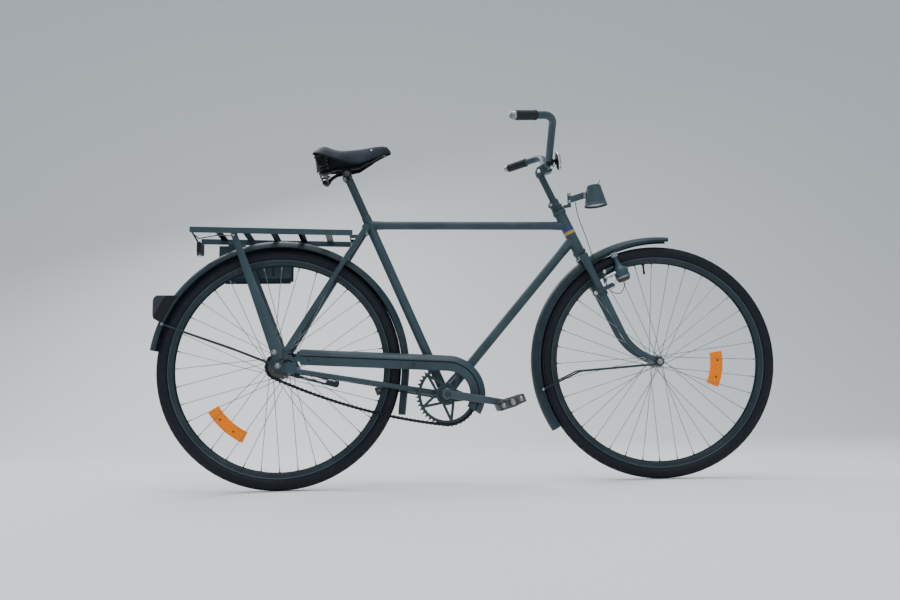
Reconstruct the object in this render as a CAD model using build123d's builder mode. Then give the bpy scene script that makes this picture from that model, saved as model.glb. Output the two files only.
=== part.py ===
from build123d import *
from math import acos, asin, atan2, cos, degrees, hypot, pi, radians, sin, tan
import os

# An army roadster bicycle: two wheels in line, a diamond frame, one gear with a
# back-pedal brake, a carrier with a toolbox, a bottle dynamo and a drooping lamp.
# X points forward, Y to the rider's left and Z up. The origin is the point of the
# saddle that the rider sits on. The drive side is the right side, at negative Y.

os.makedirs("parts", exist_ok=True)

# Wheels
RIM_RADIUS = 321.5
TYRE_TALL = 34
WHEEL_RADIUS = RIM_RADIUS + TYRE_TALL
TYRE_FOOT = 10.9
# Half of the tyre's section, from the bead to the tread: depth under the tread, out
TYRE_SECTION = ((38, TYRE_FOOT), (31, 15.5), (24, 19.6), (18, 20), (11, 18), (5, 13.5), (1.3, 7.5), (0, 3))
RIM_DEPTH = 18
RIM_WIDTH = 27
SPOKE_PAIRS = 9
SPOKE_DIAMETER = 2
WHEELBASE = 1140

# Frame, seen from the side
SADDLE_HEIGHT = 1016.5
SADDLE_AHEAD = 150
BRACKET_AHEAD = 487
BRACKET_DROP = 89.5
SEAT_TILT = 23.2
HEAD_TILT = 24.4
FORK_RAKE = 60
TOP_TUBE_UP = 431
DOWN_TUBE_TOP_UP = 388
HEAD_TUBE_LOW_UP = 340
HEAD_TUBE_LENGTH = 150
STEER_REST = -9

# Tubes
TOP_TUBE = 25.4
MAIN_TUBE = 28.6
HEAD_TUBE = 36
STAY_TUBE = 16
SEAT_POST = 25.4
BAR_TUBE = 22.2

# Drive
PITCH = 12.7
RING_TEETH = 44
SPROCKET_TEETH = 18
CHAIN_LINE = 44
TOOTH_WIDTH = 2.8
CRANK_LENGTH = 175
CRANK_DROP = 9.6
CRANK_INNER = 59.5
CRANK_THICKNESS = 13
PEDAL_WIDTH = 96
PEDAL_TILT = 20

# Widths across the bicycle
REAR_DROPOUT = 55
FRONT_DROPOUT = 49
RACK_HALF = 81
GRIP_HALF = 298

# Clearances
RUNNING = 0.3
SEATED = 0.3
CLEAR = 5

BASE = (Align.CENTER, Align.CENTER, Align.MIN)
AXLE_Z = WHEEL_RADIUS - SADDLE_HEIGHT
REAR_X = -SADDLE_AHEAD
SIDE = Plane(origin=(REAR_X, 0, AXLE_Z), x_dir=(1, 0, 0), z_dir=(0, -1, 0))

# The steering axis crosses the height of the axles behind the front axle.
AXIS_FOOT = WHEELBASE - FORK_RAKE / cos(radians(HEAD_TILT))
STEER_FOOT = SIDE.from_local_coords(Vector(AXIS_FOOT, 0, 0))
STEER_UP = Vector(-sin(radians(HEAD_TILT)), 0, cos(radians(HEAD_TILT)))


def turned(direction):
    """A direction after the fork has been turned to where it rests."""
    return direction.rotate(Axis((0, 0, 0), tuple(STEER_UP)), STEER_REST)


FORK = Plane(
    origin=STEER_FOOT + turned(SIDE.origin - STEER_FOOT),
    x_dir=turned(SIDE.x_dir),
    z_dir=turned(SIDE.z_dir),
)


def spot(x, up, out=0, plane=SIDE):
    """A point from the rear axle: forward, up, and out to the right."""
    return plane.from_local_coords(Vector(x, up, out))


def head_x(up):
    return AXIS_FOOT - up * tan(radians(HEAD_TILT))


def seat_x(up):
    return BRACKET_AHEAD - (up + BRACKET_DROP) * tan(radians(SEAT_TILT))


def bar(start, finish, radius, end_radius=None, mode=Mode.ADD):
    """A round bar or a taper between two points."""
    run = finish - start
    with Locations(Plane(origin=start, z_dir=run)):
        if end_radius is None or end_radius == radius:
            Cylinder(radius, run.length, align=BASE, mode=mode)
        else:
            Cone(radius, end_radius, run.length, align=BASE, mode=mode)


def joint_ball(centre, radius):
    """Rounds the joint of two bars that meet at an angle."""
    with Locations(centre):
        Sphere(radius)


def section_plane(plane, centre_x, centre_up, angle=0):
    """The plane through a wheel's axle: local x is the radius, local y is out."""
    radial = plane.x_dir * cos(radians(angle)) + plane.y_dir * sin(radians(angle))
    centre = spot(centre_x, centre_up, 0, plane)
    return Plane(origin=centre, x_dir=radial, z_dir=radial.cross(plane.z_dir))


def axle(plane, centre_x, centre_up):
    return Axis(tuple(spot(centre_x, centre_up, 0, plane)), tuple(plane.z_dir))


def polar(radius, angle):
    return (radius * cos(radians(angle)), radius * sin(radians(angle)))


# Frame tubes
BRACKET = (BRACKET_AHEAD, -BRACKET_DROP)
SHELL_RADIUS = 20
SHELL_HALF = 34
SPINDLE_RADIUS = 8.5
SEAT_TUBE_TOP_UP = TOP_TUBE_UP + 26

with BuildPart() as bottom_bracket:
    with BuildSketch(SIDE):
        with Locations(BRACKET):
            Circle(SHELL_RADIUS)
    extrude(amount=SHELL_HALF, both=True)
    with BuildSketch(SIDE):
        with Locations(BRACKET):
            Circle(SHELL_RADIUS - 1.5)
    extrude(amount=SHELL_HALF + 3, both=True)
    with BuildSketch(SIDE):
        with Locations(BRACKET):
            Circle(SPINDLE_RADIUS + RUNNING)
    extrude(amount=SHELL_HALF + 3, both=True, mode=Mode.SUBTRACT)
bottom_bracket.part.label = "bottom_bracket"
export_step(bottom_bracket.part, "parts/bottom_bracket.step")

SEAT_POST_TOP_UP = 574
SEAT_POST_FOOT_UP = 350
with BuildPart() as seat_tube:
    bar(spot(seat_x(-BRACKET_DROP), -BRACKET_DROP), spot(seat_x(SEAT_TUBE_TOP_UP), SEAT_TUBE_TOP_UP), MAIN_TUBE / 2)
    with BuildSketch(SIDE) as collar:
        with Locations((seat_x(TOP_TUBE_UP) - 12, TOP_TUBE_UP - 14)):
            Circle(11)
    extrude(amount=22, both=True)
    bar(
        spot(seat_x(SEAT_POST_FOOT_UP), SEAT_POST_FOOT_UP),
        spot(seat_x(SEAT_POST_TOP_UP), SEAT_POST_TOP_UP),
        SEAT_POST / 2,
        mode=Mode.SUBTRACT,
    )
    with BuildSketch(SIDE):
        with Locations(BRACKET):
            Circle(SHELL_RADIUS)
    extrude(amount=SHELL_HALF, both=True, mode=Mode.SUBTRACT)
seat_tube.part.label = "seat_tube"
export_step(seat_tube.part, "parts/seat_tube.step")

LUG = 42
LUG_WALL = 1.8
HEAD_TOP_UP = HEAD_TUBE_LOW_UP + HEAD_TUBE_LENGTH * cos(radians(HEAD_TILT))
STEERER_RADIUS = 12.7


def head_spot(up, ahead=0, out=0, plane=SIDE):
    """A point beside the steering axis: `up` on the axis, then square to it."""
    x = head_x(up) + ahead * cos(radians(HEAD_TILT))
    return spot(x, up + ahead * sin(radians(HEAD_TILT)), out, plane)


CUP_HEIGHT = 9
with BuildPart() as head_tube:
    bar(head_spot(HEAD_TUBE_LOW_UP), head_spot(HEAD_TOP_UP), HEAD_TUBE / 2)
    bar(head_spot(HEAD_TUBE_LOW_UP), head_spot(HEAD_TUBE_LOW_UP + CUP_HEIGHT), HEAD_TUBE / 2 + 3)
    bar(head_spot(HEAD_TOP_UP - CUP_HEIGHT), head_spot(HEAD_TOP_UP), HEAD_TUBE / 2 + 3)
    bar(
        head_spot(HEAD_TUBE_LOW_UP - 1),
        head_spot(HEAD_TOP_UP + 1),
        STEERER_RADIUS + 1.5,
        mode=Mode.SUBTRACT,
    )
head_tube.part.label = "head_tube"
export_step(head_tube.part, "parts/head_tube.step")

with BuildPart() as top_tube:
    bar(spot(seat_x(TOP_TUBE_UP), TOP_TUBE_UP), spot(head_x(TOP_TUBE_UP), TOP_TUBE_UP), TOP_TUBE / 2)
    for start, finish in (
        (spot(seat_x(TOP_TUBE_UP), TOP_TUBE_UP), spot(seat_x(TOP_TUBE_UP) + LUG, TOP_TUBE_UP)),
        (spot(head_x(TOP_TUBE_UP), TOP_TUBE_UP), spot(head_x(TOP_TUBE_UP) - LUG, TOP_TUBE_UP)),
    ):
        bar(start, finish, TOP_TUBE / 2 + LUG_WALL, TOP_TUBE / 2 + 0.4)
    bar(
        spot(seat_x(TOP_TUBE_UP - 60), TOP_TUBE_UP - 60),
        spot(seat_x(SEAT_TUBE_TOP_UP), SEAT_TUBE_TOP_UP),
        MAIN_TUBE / 2,
        mode=Mode.SUBTRACT,
    )
    bar(head_spot(HEAD_TUBE_LOW_UP), head_spot(HEAD_TOP_UP), HEAD_TUBE / 2, mode=Mode.SUBTRACT)
top_tube.part.label = "top_tube"
export_step(top_tube.part, "parts/top_tube.step")

with BuildPart() as down_tube:
    foot = spot(*BRACKET)
    top = head_spot(DOWN_TUBE_TOP_UP)
    along = (top - foot).normalized()
    bar(foot, top, MAIN_TUBE / 2)
    bar(top, top - along * (LUG + 12), MAIN_TUBE / 2 + LUG_WALL, MAIN_TUBE / 2 + 0.4)
    bar(foot, foot + along * (LUG + 8), MAIN_TUBE / 2 + LUG_WALL, MAIN_TUBE / 2 + 0.4)
    bar(head_spot(HEAD_TUBE_LOW_UP), head_spot(HEAD_TOP_UP), HEAD_TUBE / 2, mode=Mode.SUBTRACT)
    bar(
        spot(*BRACKET),
        spot(seat_x(TOP_TUBE_UP), TOP_TUBE_UP),
        MAIN_TUBE / 2,
        mode=Mode.SUBTRACT,
    )
    with BuildSketch(SIDE):
        with Locations(BRACKET):
            Circle(SHELL_RADIUS)
    extrude(amount=SHELL_HALF, both=True, mode=Mode.SUBTRACT)
down_tube.part.label = "down_tube"
export_step(down_tube.part, "parts/down_tube.step")

# Rear triangle: the stays end in flat plates that hold the axle.
PLATE = 5
PLATE_MIDDLE = REAR_DROPOUT + PLATE / 2
AXLE_RADIUS = 4.75
SEAT_STAY_FOOT = (20, 44)
CHAIN_STAY_END = (50, -13)
STAY_BEND = (BRACKET_AHEAD - 97, -BRACKET_DROP + 17, 29)

with BuildPart() as chain_stays:
    bar(spot(*CHAIN_STAY_END, PLATE_MIDDLE), spot(*STAY_BEND), 6, 8)
    joint_ball(spot(*STAY_BEND), 8)
    bar(spot(*STAY_BEND), spot(*BRACKET, 20), 8, 9.5)
    with BuildSketch(SIDE.offset(REAR_DROPOUT)):
        Circle(17)
        with Locations(SEAT_STAY_FOOT):
            Circle(9)
        with Locations(CHAIN_STAY_END):
            Circle(8)
        make_hull()
        with Locations((22, 14)):
            SlotOverall(20, 8, rotation=20, mode=Mode.SUBTRACT)
        SlotOverall(24, 2 * (AXLE_RADIUS + SEATED), mode=Mode.SUBTRACT)
    extrude(amount=PLATE)
    with BuildSketch(SIDE):
        with Locations(BRACKET):
            Circle(SHELL_RADIUS)
    extrude(amount=SHELL_HALF, mode=Mode.SUBTRACT)
    mirror(about=Plane.XZ)
chain_stays.part.label = "chain_stays"
export_step(chain_stays.part, "parts/chain_stays.step")

SEAT_STAY_TOP = (seat_x(TOP_TUBE_UP) - 12, TOP_TUBE_UP - 14)
REAR_GUARD_CROWN = WHEEL_RADIUS + 24.5
BRIDGE_ANGLE = 59.5
with BuildPart() as seat_stays:
    bar(
        spot(*SEAT_STAY_FOOT, PLATE_MIDDLE),
        spot(*SEAT_STAY_TOP, 22 + STAY_TUBE / 2),
        STAY_TUBE / 2,
    )
    with BuildSketch(SIDE.offset(22)):
        with Locations(SEAT_STAY_TOP):
            Circle(11)
    extrude(amount=STAY_TUBE - 1)
    bridge = polar(REAR_GUARD_CROWN + SEATED + 6, BRIDGE_ANGLE)
    bar(spot(*bridge), spot(*bridge, 38), 6)
    add(chain_stays.part, mode=Mode.SUBTRACT)
    mirror(about=Plane.XZ)
seat_stays.part.label = "seat_stays"
export_step(seat_stays.part, "parts/seat_stays.step")

# Rear axle with its cones and nuts
AXLE_HALF = 78
EYE_THICK = 2.5
REAR_EYE_OUT = REAR_DROPOUT + PLATE + 5
FRONT_EYE_OUT = FRONT_DROPOUT + PLATE
with BuildPart() as rear_axle:
    with BuildSketch(SIDE):
        Circle(AXLE_RADIUS)
    extrude(amount=AXLE_HALF, both=True)
    with BuildSketch(SIDE.offset(REAR_DROPOUT - 6)):
        Circle(11)
    extrude(amount=6)
    with BuildSketch(SIDE.offset(REAR_EYE_OUT + EYE_THICK)):
        RegularPolygon(9, 6)
    extrude(amount=7)
    mirror(about=Plane.XZ)
rear_axle.part.label = "rear_axle"
export_step(rear_axle.part, "parts/rear_axle.step")

# The back-pedal brake's arm, from the axle to the left chain stay
ARM_OUT = REAR_DROPOUT - 6
ARM_THICK = 3
ARM_END = (160, -52)
STAY_AT_ARM = (163, -33, 48)
with BuildPart() as brake_arm:
    with BuildSketch(SIDE.offset(-ARM_OUT)):
        with Locations((0, -2)):
            Circle(15)
        with Locations(ARM_END):
            Circle(8)
        make_hull()
        with Locations((82, -27)):
            SlotOverall(100, 8, rotation=-17, mode=Mode.SUBTRACT)
        Circle(11.2, mode=Mode.SUBTRACT)
    extrude(amount=ARM_THICK)
    x, up, out = STAY_AT_ARM
    bar(spot(x - 6, up + 1, -out - 0.5), spot(x + 6, up - 1, -out + 0.5), 9.5)
    with BuildSketch(SIDE.offset(-ARM_OUT)):
        with Locations((x, up - 12)):
            Rectangle(12, 16)
    extrude(amount=ARM_THICK)
    add(chain_stays.part, mode=Mode.SUBTRACT)
brake_arm.part.label = "brake_arm"
export_step(brake_arm.part, "parts/brake_arm.step")

# Wheels. Columns: name, plane, axle ahead, hub barrel radius, flange radius,
# right flange out, left flange out, right end out, left end out,
# reflector radius, reflector angle, reflector half thickness
WHEELS = (
    ("rear", SIDE, 0, 20, 33, 24, 29, 36, 44, RIM_RADIUS - 96.5, 227.5, 4.8),
    ("front", FORK, WHEELBASE, 10, 19, 27, 27, 38, 38, RIM_RADIUS - 137.5, -8, 9.2),
)
FLANGE = 3
SPOKE_LEAN = 1.4
SPOKE_SWEEP = 60
RIM_HOLE_OUT = 2
RIM_FLOOR = RIM_RADIUS - RIM_DEPTH
BORE = AXLE_RADIUS + RUNNING

for name, plane, ahead, barrel, flange, right, left, right_end, left_end, disc, disc_angle, disc_half in WHEELS:
    across = section_plane(plane, ahead, 0)
    spin = axle(plane, ahead, 0)

    with BuildPart() as tyre:
        with BuildSketch(across):
            with BuildLine():
                Polyline(
                    *[(WHEEL_RADIUS - depth, -out) for depth, out in TYRE_SECTION],
                    *[(WHEEL_RADIUS - depth, out) for depth, out in reversed(TYRE_SECTION)],
                    close=True,
                )
            make_face()
        revolve(axis=spin)
    tyre.part.label = f"{name}_tyre"
    export_step(tyre.part, f"parts/{name}_tyre.step")

    half = RIM_WIDTH / 2
    with BuildPart() as rim:
        with BuildSketch(across):
            with BuildLine():
                Polyline(
                    (RIM_RADIUS, half),
                    (RIM_FLOOR + 6, half),
                    (RIM_FLOOR, half - 7),
                    (RIM_FLOOR, 7 - half),
                    (RIM_FLOOR + 6, -half),
                    (RIM_RADIUS, -half),
                    (RIM_RADIUS, -TYRE_FOOT - SEATED),
                    (RIM_FLOOR + 9, -5),
                    (RIM_FLOOR + 9, 5),
                    (RIM_RADIUS, TYRE_FOOT + SEATED),
                    close=True,
                )
            make_face()
        revolve(axis=spin)
        add(tyre.part, mode=Mode.SUBTRACT)
    rim.part.label = f"{name}_rim"
    export_step(rim.part, f"parts/{name}_rim.step")

    with BuildPart() as hub:
        with BuildSketch(across):
            with BuildLine():
                Polyline(
                    (BORE, -left_end),
                    (barrel + 3, -left_end),
                    (barrel + 3, -left - FLANGE / 2),
                    (flange, -left - FLANGE / 2),
                    (flange, -left + FLANGE / 2),
                    (barrel + 2, -left + FLANGE / 2),
                    (barrel, 8 - left),
                    (barrel, right - 8),
                    (barrel + 2, right - FLANGE / 2),
                    (flange, right - FLANGE / 2),
                    (flange, right + FLANGE / 2),
                    (barrel - 1, right + FLANGE / 2),
                    (barrel - 1, right_end),
                    (BORE, right_end),
                    close=True,
                )
            make_face()
        revolve(axis=spin)
    hub.part.label = f"{name}_hub"
    export_step(hub.part, f"parts/{name}_hub.step")

    with BuildPart() as spokes:
        for side, flange_out in ((1, right), (-1, left)):
            for pair in range(SPOKE_PAIRS):
                for lead in (1, -1):
                    hole = pair * 40 + (20 if lead < 0 else 0) + (10 if side < 0 else 0)
                    hub_x, hub_up = polar(flange + SPOKE_DIAMETER / 2 + SEATED, hole)
                    rim_x, rim_up = polar(RIM_FLOOR - SEATED, hole + lead * SPOKE_SWEEP)
                    start = spot(ahead + hub_x, hub_up, side * (flange_out + lead * SPOKE_LEAN), plane)
                    end = spot(ahead + rim_x, rim_up, side * RIM_HOLE_OUT, plane)
                    with BuildSketch(Plane(origin=start, z_dir=end - start)):
                        RegularPolygon(SPOKE_DIAMETER / 2, 6)
                    extrude(amount=(end - start).length)
    spokes.part.label = f"{name}_spokes"
    export_step(spokes.part, f"parts/{name}_spokes.step")

    with BuildPart() as reflector:
        with BuildSketch(plane.offset(-disc_half)):
            with BuildLine():
                CenterArc((ahead, 0), disc + 17, disc_angle - 16, 32)
                CenterArc((ahead, 0), disc - 17, disc_angle - 16, 32)
                for edge_angle in (disc_angle - 16, disc_angle + 16):
                    near = polar(disc - 17, edge_angle)
                    far = polar(disc + 17, edge_angle)
                    Line((ahead + near[0], near[1]), (ahead + far[0], far[1]))
            make_face()
        extrude(amount=2 * disc_half)
    reflector.part.label = f"{name}_reflector"
    export_step(reflector.part, f"parts/{name}_reflector.step")

# Drive train
RING_PITCH = PITCH / 2 / sin(pi / RING_TEETH)
SPROCKET_PITCH = PITCH / 2 / sin(pi / SPROCKET_TEETH)
ROLLER = 4.25
TOOTH_TIP = 3.2
DISC_RADIUS = 32
ARM_COUNT = 5
ARM_FIRST = -CRANK_DROP
ARM_WIDE = 8
ARM_SPREAD = 26


# One tooth, as (height over the pitch circle, part of a pitch from its middle)
TOOTH = ((-ROLLER, -0.34), (0, -0.16), (TOOTH_TIP, -0.09), (TOOTH_TIP, 0.09), (0, 0.16), (-ROLLER, 0.34))


def tooth_points(centre, pitch_radius, teeth):
    """The toothed outline; the gaps between teeth seat the chain's rollers."""
    points = []
    for tooth in range(teeth):
        for height, part in TOOTH:
            x, up = polar(pitch_radius + height, 360 * (tooth + 0.5 + part) / teeth)
            points.append((centre[0] + x, centre[1] + up))
    return points


with BuildPart() as chainring:
    with BuildSketch(SIDE.offset(CHAIN_LINE - TOOTH_WIDTH / 2)):
        with BuildLine():
            Polyline(*tooth_points(BRACKET, RING_PITCH, RING_TEETH), close=True)
        make_face()
        with Locations(BRACKET):
            Circle(RING_PITCH - 13, mode=Mode.SUBTRACT)
            Circle(DISC_RADIUS)
        for arm in range(ARM_COUNT):
            tip = ARM_FIRST + arm * 360 / ARM_COUNT
            rim_point = polar(RING_PITCH - 11, tip)
            for lean in (-ARM_SPREAD, ARM_SPREAD):
                hub_point = polar(DISC_RADIUS, tip + lean)
                mid = (BRACKET[0] + (rim_point[0] + hub_point[0]) / 2, BRACKET[1] + (rim_point[1] + hub_point[1]) / 2)
                run = (rim_point[0] - hub_point[0], rim_point[1] - hub_point[1])
                with Locations(mid):
                    SlotOverall(hypot(*run) + ARM_WIDE, ARM_WIDE, rotation=degrees(atan2(run[1], run[0])))
    extrude(amount=TOOTH_WIDTH)
    with BuildSketch(SIDE.offset(SHELL_HALF + 3 + 2)):
        with Locations(BRACKET):
            Circle(21)
    extrude(amount=CRANK_INNER - SHELL_HALF - 5)
    with BuildSketch(SIDE):
        with Locations(BRACKET):
            Circle(SPINDLE_RADIUS)
    extrude(amount=CRANK_INNER, mode=Mode.SUBTRACT)
chainring.part.label = "chainring"
export_step(chainring.part, "parts/chainring.step")

with BuildPart() as sprocket:
    with BuildSketch(SIDE.offset(CHAIN_LINE - TOOTH_WIDTH / 2)):
        with BuildLine():
            Polyline(*tooth_points((0, 0), SPROCKET_PITCH, SPROCKET_TEETH), close=True)
        make_face()
    extrude(amount=TOOTH_WIDTH)
    with BuildSketch(SIDE.offset(37)):
        Circle(19)
    extrude(amount=REAR_DROPOUT - 6 - 37 - 1)
    with BuildSketch(SIDE.offset(30)):
        Circle(BORE)
    extrude(amount=30, mode=Mode.SUBTRACT)
sprocket.part.label = "sprocket"
export_step(sprocket.part, "parts/sprocket.step")

# The chain's path. The upper run is tight, the lower run hangs in a long arc.
SAG_RADIUS = 1600
centres = hypot(BRACKET_AHEAD, BRACKET_DROP)
slope = degrees(atan2(-BRACKET_DROP, BRACKET_AHEAD))
upper = 90 + slope + degrees(asin((RING_PITCH - SPROCKET_PITCH) / centres))
to_rear = SAG_RADIUS - SPROCKET_PITCH
to_ring = SAG_RADIUS - RING_PITCH
lift = degrees(acos((to_rear**2 + centres**2 - to_ring**2) / (2 * to_rear * centres)))
sag_centre = polar(to_rear, slope + lift)
rear_low = degrees(atan2(-sag_centre[1], -sag_centre[0]))
ring_low = degrees(atan2(BRACKET[1] - sag_centre[1], BRACKET[0] - sag_centre[0]))

with BuildLine() as chain_path:
    top_rear = polar(SPROCKET_PITCH, upper)
    top_ring = polar(RING_PITCH, upper)
    Line(top_rear, (BRACKET[0] + top_ring[0], BRACKET[1] + top_ring[1]))
    CenterArc(BRACKET, RING_PITCH, upper, ring_low - upper)
    CenterArc(sag_centre, SAG_RADIUS, ring_low, rear_low - ring_low)
    CenterArc((0, 0), SPROCKET_PITCH, rear_low, upper - 360 - rear_low)
loop = chain_path.wire()
LINKS = 2 * round(loop.length / PITCH / 2)
PLATE_HIGH = 4.2
PLATE_WAIST = 3
PLATE_OUTER = 3.9
PLATE_INNER = 1.65


def chain_edge(reach):
    """Points beside the path, wide at each pin and narrow between the pins."""
    points = []
    for step in range(2 * LINKS):
        along = step / (2 * LINKS)
        middle = loop.position_at(along)
        forward = loop.tangent_at(along)
        high = PLATE_HIGH if step % 2 == 0 else PLATE_WAIST
        points.append((middle.X - forward.Y * high * reach, middle.Y + forward.X * high * reach))
    return points


def clear_of_teeth(place):
    """True where a roller can't meet a tooth, whatever the wheels' angle."""
    from_ring = hypot(place.X - BRACKET[0], place.Y - BRACKET[1]) - RING_PITCH
    from_sprocket = hypot(place.X, place.Y) - SPROCKET_PITCH
    return min(from_ring, from_sprocket) > TOOTH_TIP + 2 * ROLLER_SEEN


ROLLER_SEEN = 3.4
pins = [loop.position_at(step / LINKS) for step in range(LINKS)]
with BuildPart() as chain:
    for inner_face in (CHAIN_LINE + PLATE_INNER, CHAIN_LINE - PLATE_OUTER):
        with BuildSketch(SIDE.offset(inner_face)):
            with BuildLine():
                Polyline(*chain_edge(1), close=True)
            make_face()
            with BuildLine():
                Polyline(*chain_edge(-1), close=True)
            make_face(mode=Mode.SUBTRACT)
        extrude(amount=PLATE_OUTER - PLATE_INNER)
    with BuildSketch(SIDE.offset(CHAIN_LINE - PLATE_INNER)):
        with Locations(*[(pin.X, pin.Y) for pin in pins if clear_of_teeth(pin)]):
            RegularPolygon(ROLLER_SEEN, 6)
    extrude(amount=2 * PLATE_INNER)
chain.part.label = "chain"
export_step(chain.part, "parts/chain.step")

# Cranks and pedals
EYE = (
    BRACKET[0] + CRANK_LENGTH * cos(radians(CRANK_DROP)),
    BRACKET[1] - CRANK_LENGTH * sin(radians(CRANK_DROP)),
)
REAR_EYE = (2 * BRACKET[0] - EYE[0], 2 * BRACKET[1] - EYE[1])
CRANK_OUTER = CRANK_INNER + CRANK_THICKNESS
PEDAL_IN = CRANK_OUTER + CLEAR
PEDAL_OUT = PEDAL_IN + PEDAL_WIDTH
PEDAL_AXLE = 5

with BuildPart() as crank_right:
    with BuildSketch(SIDE.offset(CRANK_INNER)) as arm_outline:
        with Locations(BRACKET):
            Circle(13)
        with Locations(EYE):
            Circle(9.5)
        make_hull()
        with Locations(BRACKET):
            Circle(17)
        with Locations(EYE):
            Circle(11.5)
        with Locations(BRACKET):
            Circle(SPINDLE_RADIUS, mode=Mode.SUBTRACT)
    extrude(amount=CRANK_THICKNESS)
    chamfer(crank_right.faces().sort_by(Axis.Y)[0].outer_wire().edges(), 2)
    bar(spot(*EYE, CRANK_INNER), spot(*EYE, PEDAL_OUT - 4), PEDAL_AXLE)
crank_right.part.label = "crank_right"
export_step(crank_right.part, "parts/crank_right.step")

with BuildPart() as crank_left:
    with BuildSketch(SIDE.offset(-CRANK_INNER)):
        with Locations(BRACKET):
            Circle(13)
        with Locations(REAR_EYE):
            Circle(9.5)
        make_hull()
        with Locations(BRACKET):
            Circle(17)
        with Locations(REAR_EYE):
            Circle(11.5)
    extrude(amount=-CRANK_THICKNESS)
    chamfer(crank_left.faces().sort_by(Axis.Y)[-1].outer_wire().edges(), 2)
    bar(spot(*REAR_EYE, -CRANK_INNER), spot(*REAR_EYE, 4 - PEDAL_OUT), PEDAL_AXLE)
    bar(spot(*BRACKET, -CRANK_INNER), spot(*BRACKET, CRANK_OUTER), SPINDLE_RADIUS)
crank_left.part.label = "crank_left"
export_step(crank_left.part, "parts/crank_left.step")

BLOCK_REACH = 26
BLOCK_LONG = 24
BLOCK_HIGH = 24
CAGE = 2.5
# Columns: name, which side, pedal axle, tilt of the pedal
PEDALS = (("right", 1, EYE, PEDAL_TILT), ("left", -1, REAR_EYE, PEDAL_TILT))
for name, side, eye, tilt in PEDALS:
    inner = SIDE.offset(side * PEDAL_IN)
    outer = SIDE.offset(side * PEDAL_OUT)
    fore = polar(BLOCK_REACH, tilt)
    with BuildPart() as pedal:
        for face, thickness in ((inner, side * CAGE), (outer, -side * CAGE)):
            with BuildSketch(face):
                with Locations((eye[0] + fore[0], eye[1] + fore[1]), (eye[0] - fore[0], eye[1] - fore[1])):
                    Circle(12)
                with Locations(eye):
                    Circle(14)
                make_hull()
            extrude(amount=thickness)
        bar(spot(*eye, side * PEDAL_IN), spot(*eye, side * PEDAL_OUT), 10)
        bar(spot(*eye, side * PEDAL_OUT), spot(*eye, side * (PEDAL_OUT + 6)), 11, 8)
        bar(
            spot(*eye, side * (PEDAL_IN - 1)),
            spot(*eye, side * (PEDAL_OUT - 3)),
            PEDAL_AXLE + RUNNING,
            mode=Mode.SUBTRACT,
        )
    pedal.part.label = f"pedal_{name}"
    export_step(pedal.part, f"parts/pedal_{name}.step")

    with BuildPart() as blocks:
        with BuildSketch(SIDE.offset(side * (PEDAL_IN + CAGE))):
            with Locations(
                Location((eye[0] + fore[0], eye[1] + fore[1]), tilt),
                Location((eye[0] - fore[0], eye[1] - fore[1]), tilt),
            ):
                RectangleRounded(BLOCK_LONG, BLOCK_HIGH, 5)
        extrude(amount=side * (PEDAL_WIDTH - 2 * CAGE))
    blocks.part.label = f"pedal_blocks_{name}"
    export_step(blocks.part, f"parts/pedal_blocks_{name}.step")

# Chain guard: a bent strip that follows the upper run and the front of the ring
GUARD_RADIUS = 115
GUARD_SLOPE = -3.25
GUARD_OUT = 54
GUARD_BAND = 47
GUARD_LAST = -32
GUARD_REAR = 48
SHEET = 1.2
tangent_angle = 90 + GUARD_SLOPE
guard_turn = polar(GUARD_RADIUS, tangent_angle)
guard_front = (BRACKET[0] + guard_turn[0], BRACKET[1] + guard_turn[1])
guard_back = (GUARD_REAR, guard_front[1] + (GUARD_REAR - guard_front[0]) * tan(radians(GUARD_SLOPE)))

with BuildPart() as chain_guard:
    with BuildLine(SIDE) as guard_path:
        Line(guard_back, guard_front)
        CenterArc(BRACKET, GUARD_RADIUS, tangent_angle, GUARD_LAST - tangent_angle)
    edge = guard_path.wire()
    strip = Plane(origin=edge @ 0, x_dir=SIDE.z_dir, z_dir=edge % 0)
    toward = 1 if strip.y_dir.Z < 0 else -1
    with BuildSketch(strip):
        with BuildLine():
            Polyline(
                (GUARD_OUT - 12, 0),
                (GUARD_OUT, toward * 15),
                (GUARD_OUT, toward * GUARD_BAND),
                (GUARD_OUT - SHEET, toward * GUARD_BAND),
                (GUARD_OUT - SHEET, toward * 15.5),
                (GUARD_OUT - 12 - SHEET, toward * 0.5),
                close=True,
            )
        make_face()
    sweep(path=edge)
    with BuildSketch(SIDE.offset(GUARD_OUT + 5)):
        with BuildLine():
            Polyline((30, 62), (76, 62), (50, 38), (50, 30), (64, 0), (30, 0), close=True)
        make_face()
    extrude(amount=-30, mode=Mode.SUBTRACT)
    with BuildSketch(SIDE.offset(GUARD_OUT)):
        with Locations((50, 18)):
            RectangleRounded(36, 12, 4)
    extrude(amount=REAR_DROPOUT - GUARD_OUT - SEATED)
chain_guard.part.label = "chain_guard"
export_step(chain_guard.part, "parts/chain_guard.step")

FRONT_GUARD_CROWN = WHEEL_RADIUS + 28.8

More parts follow.
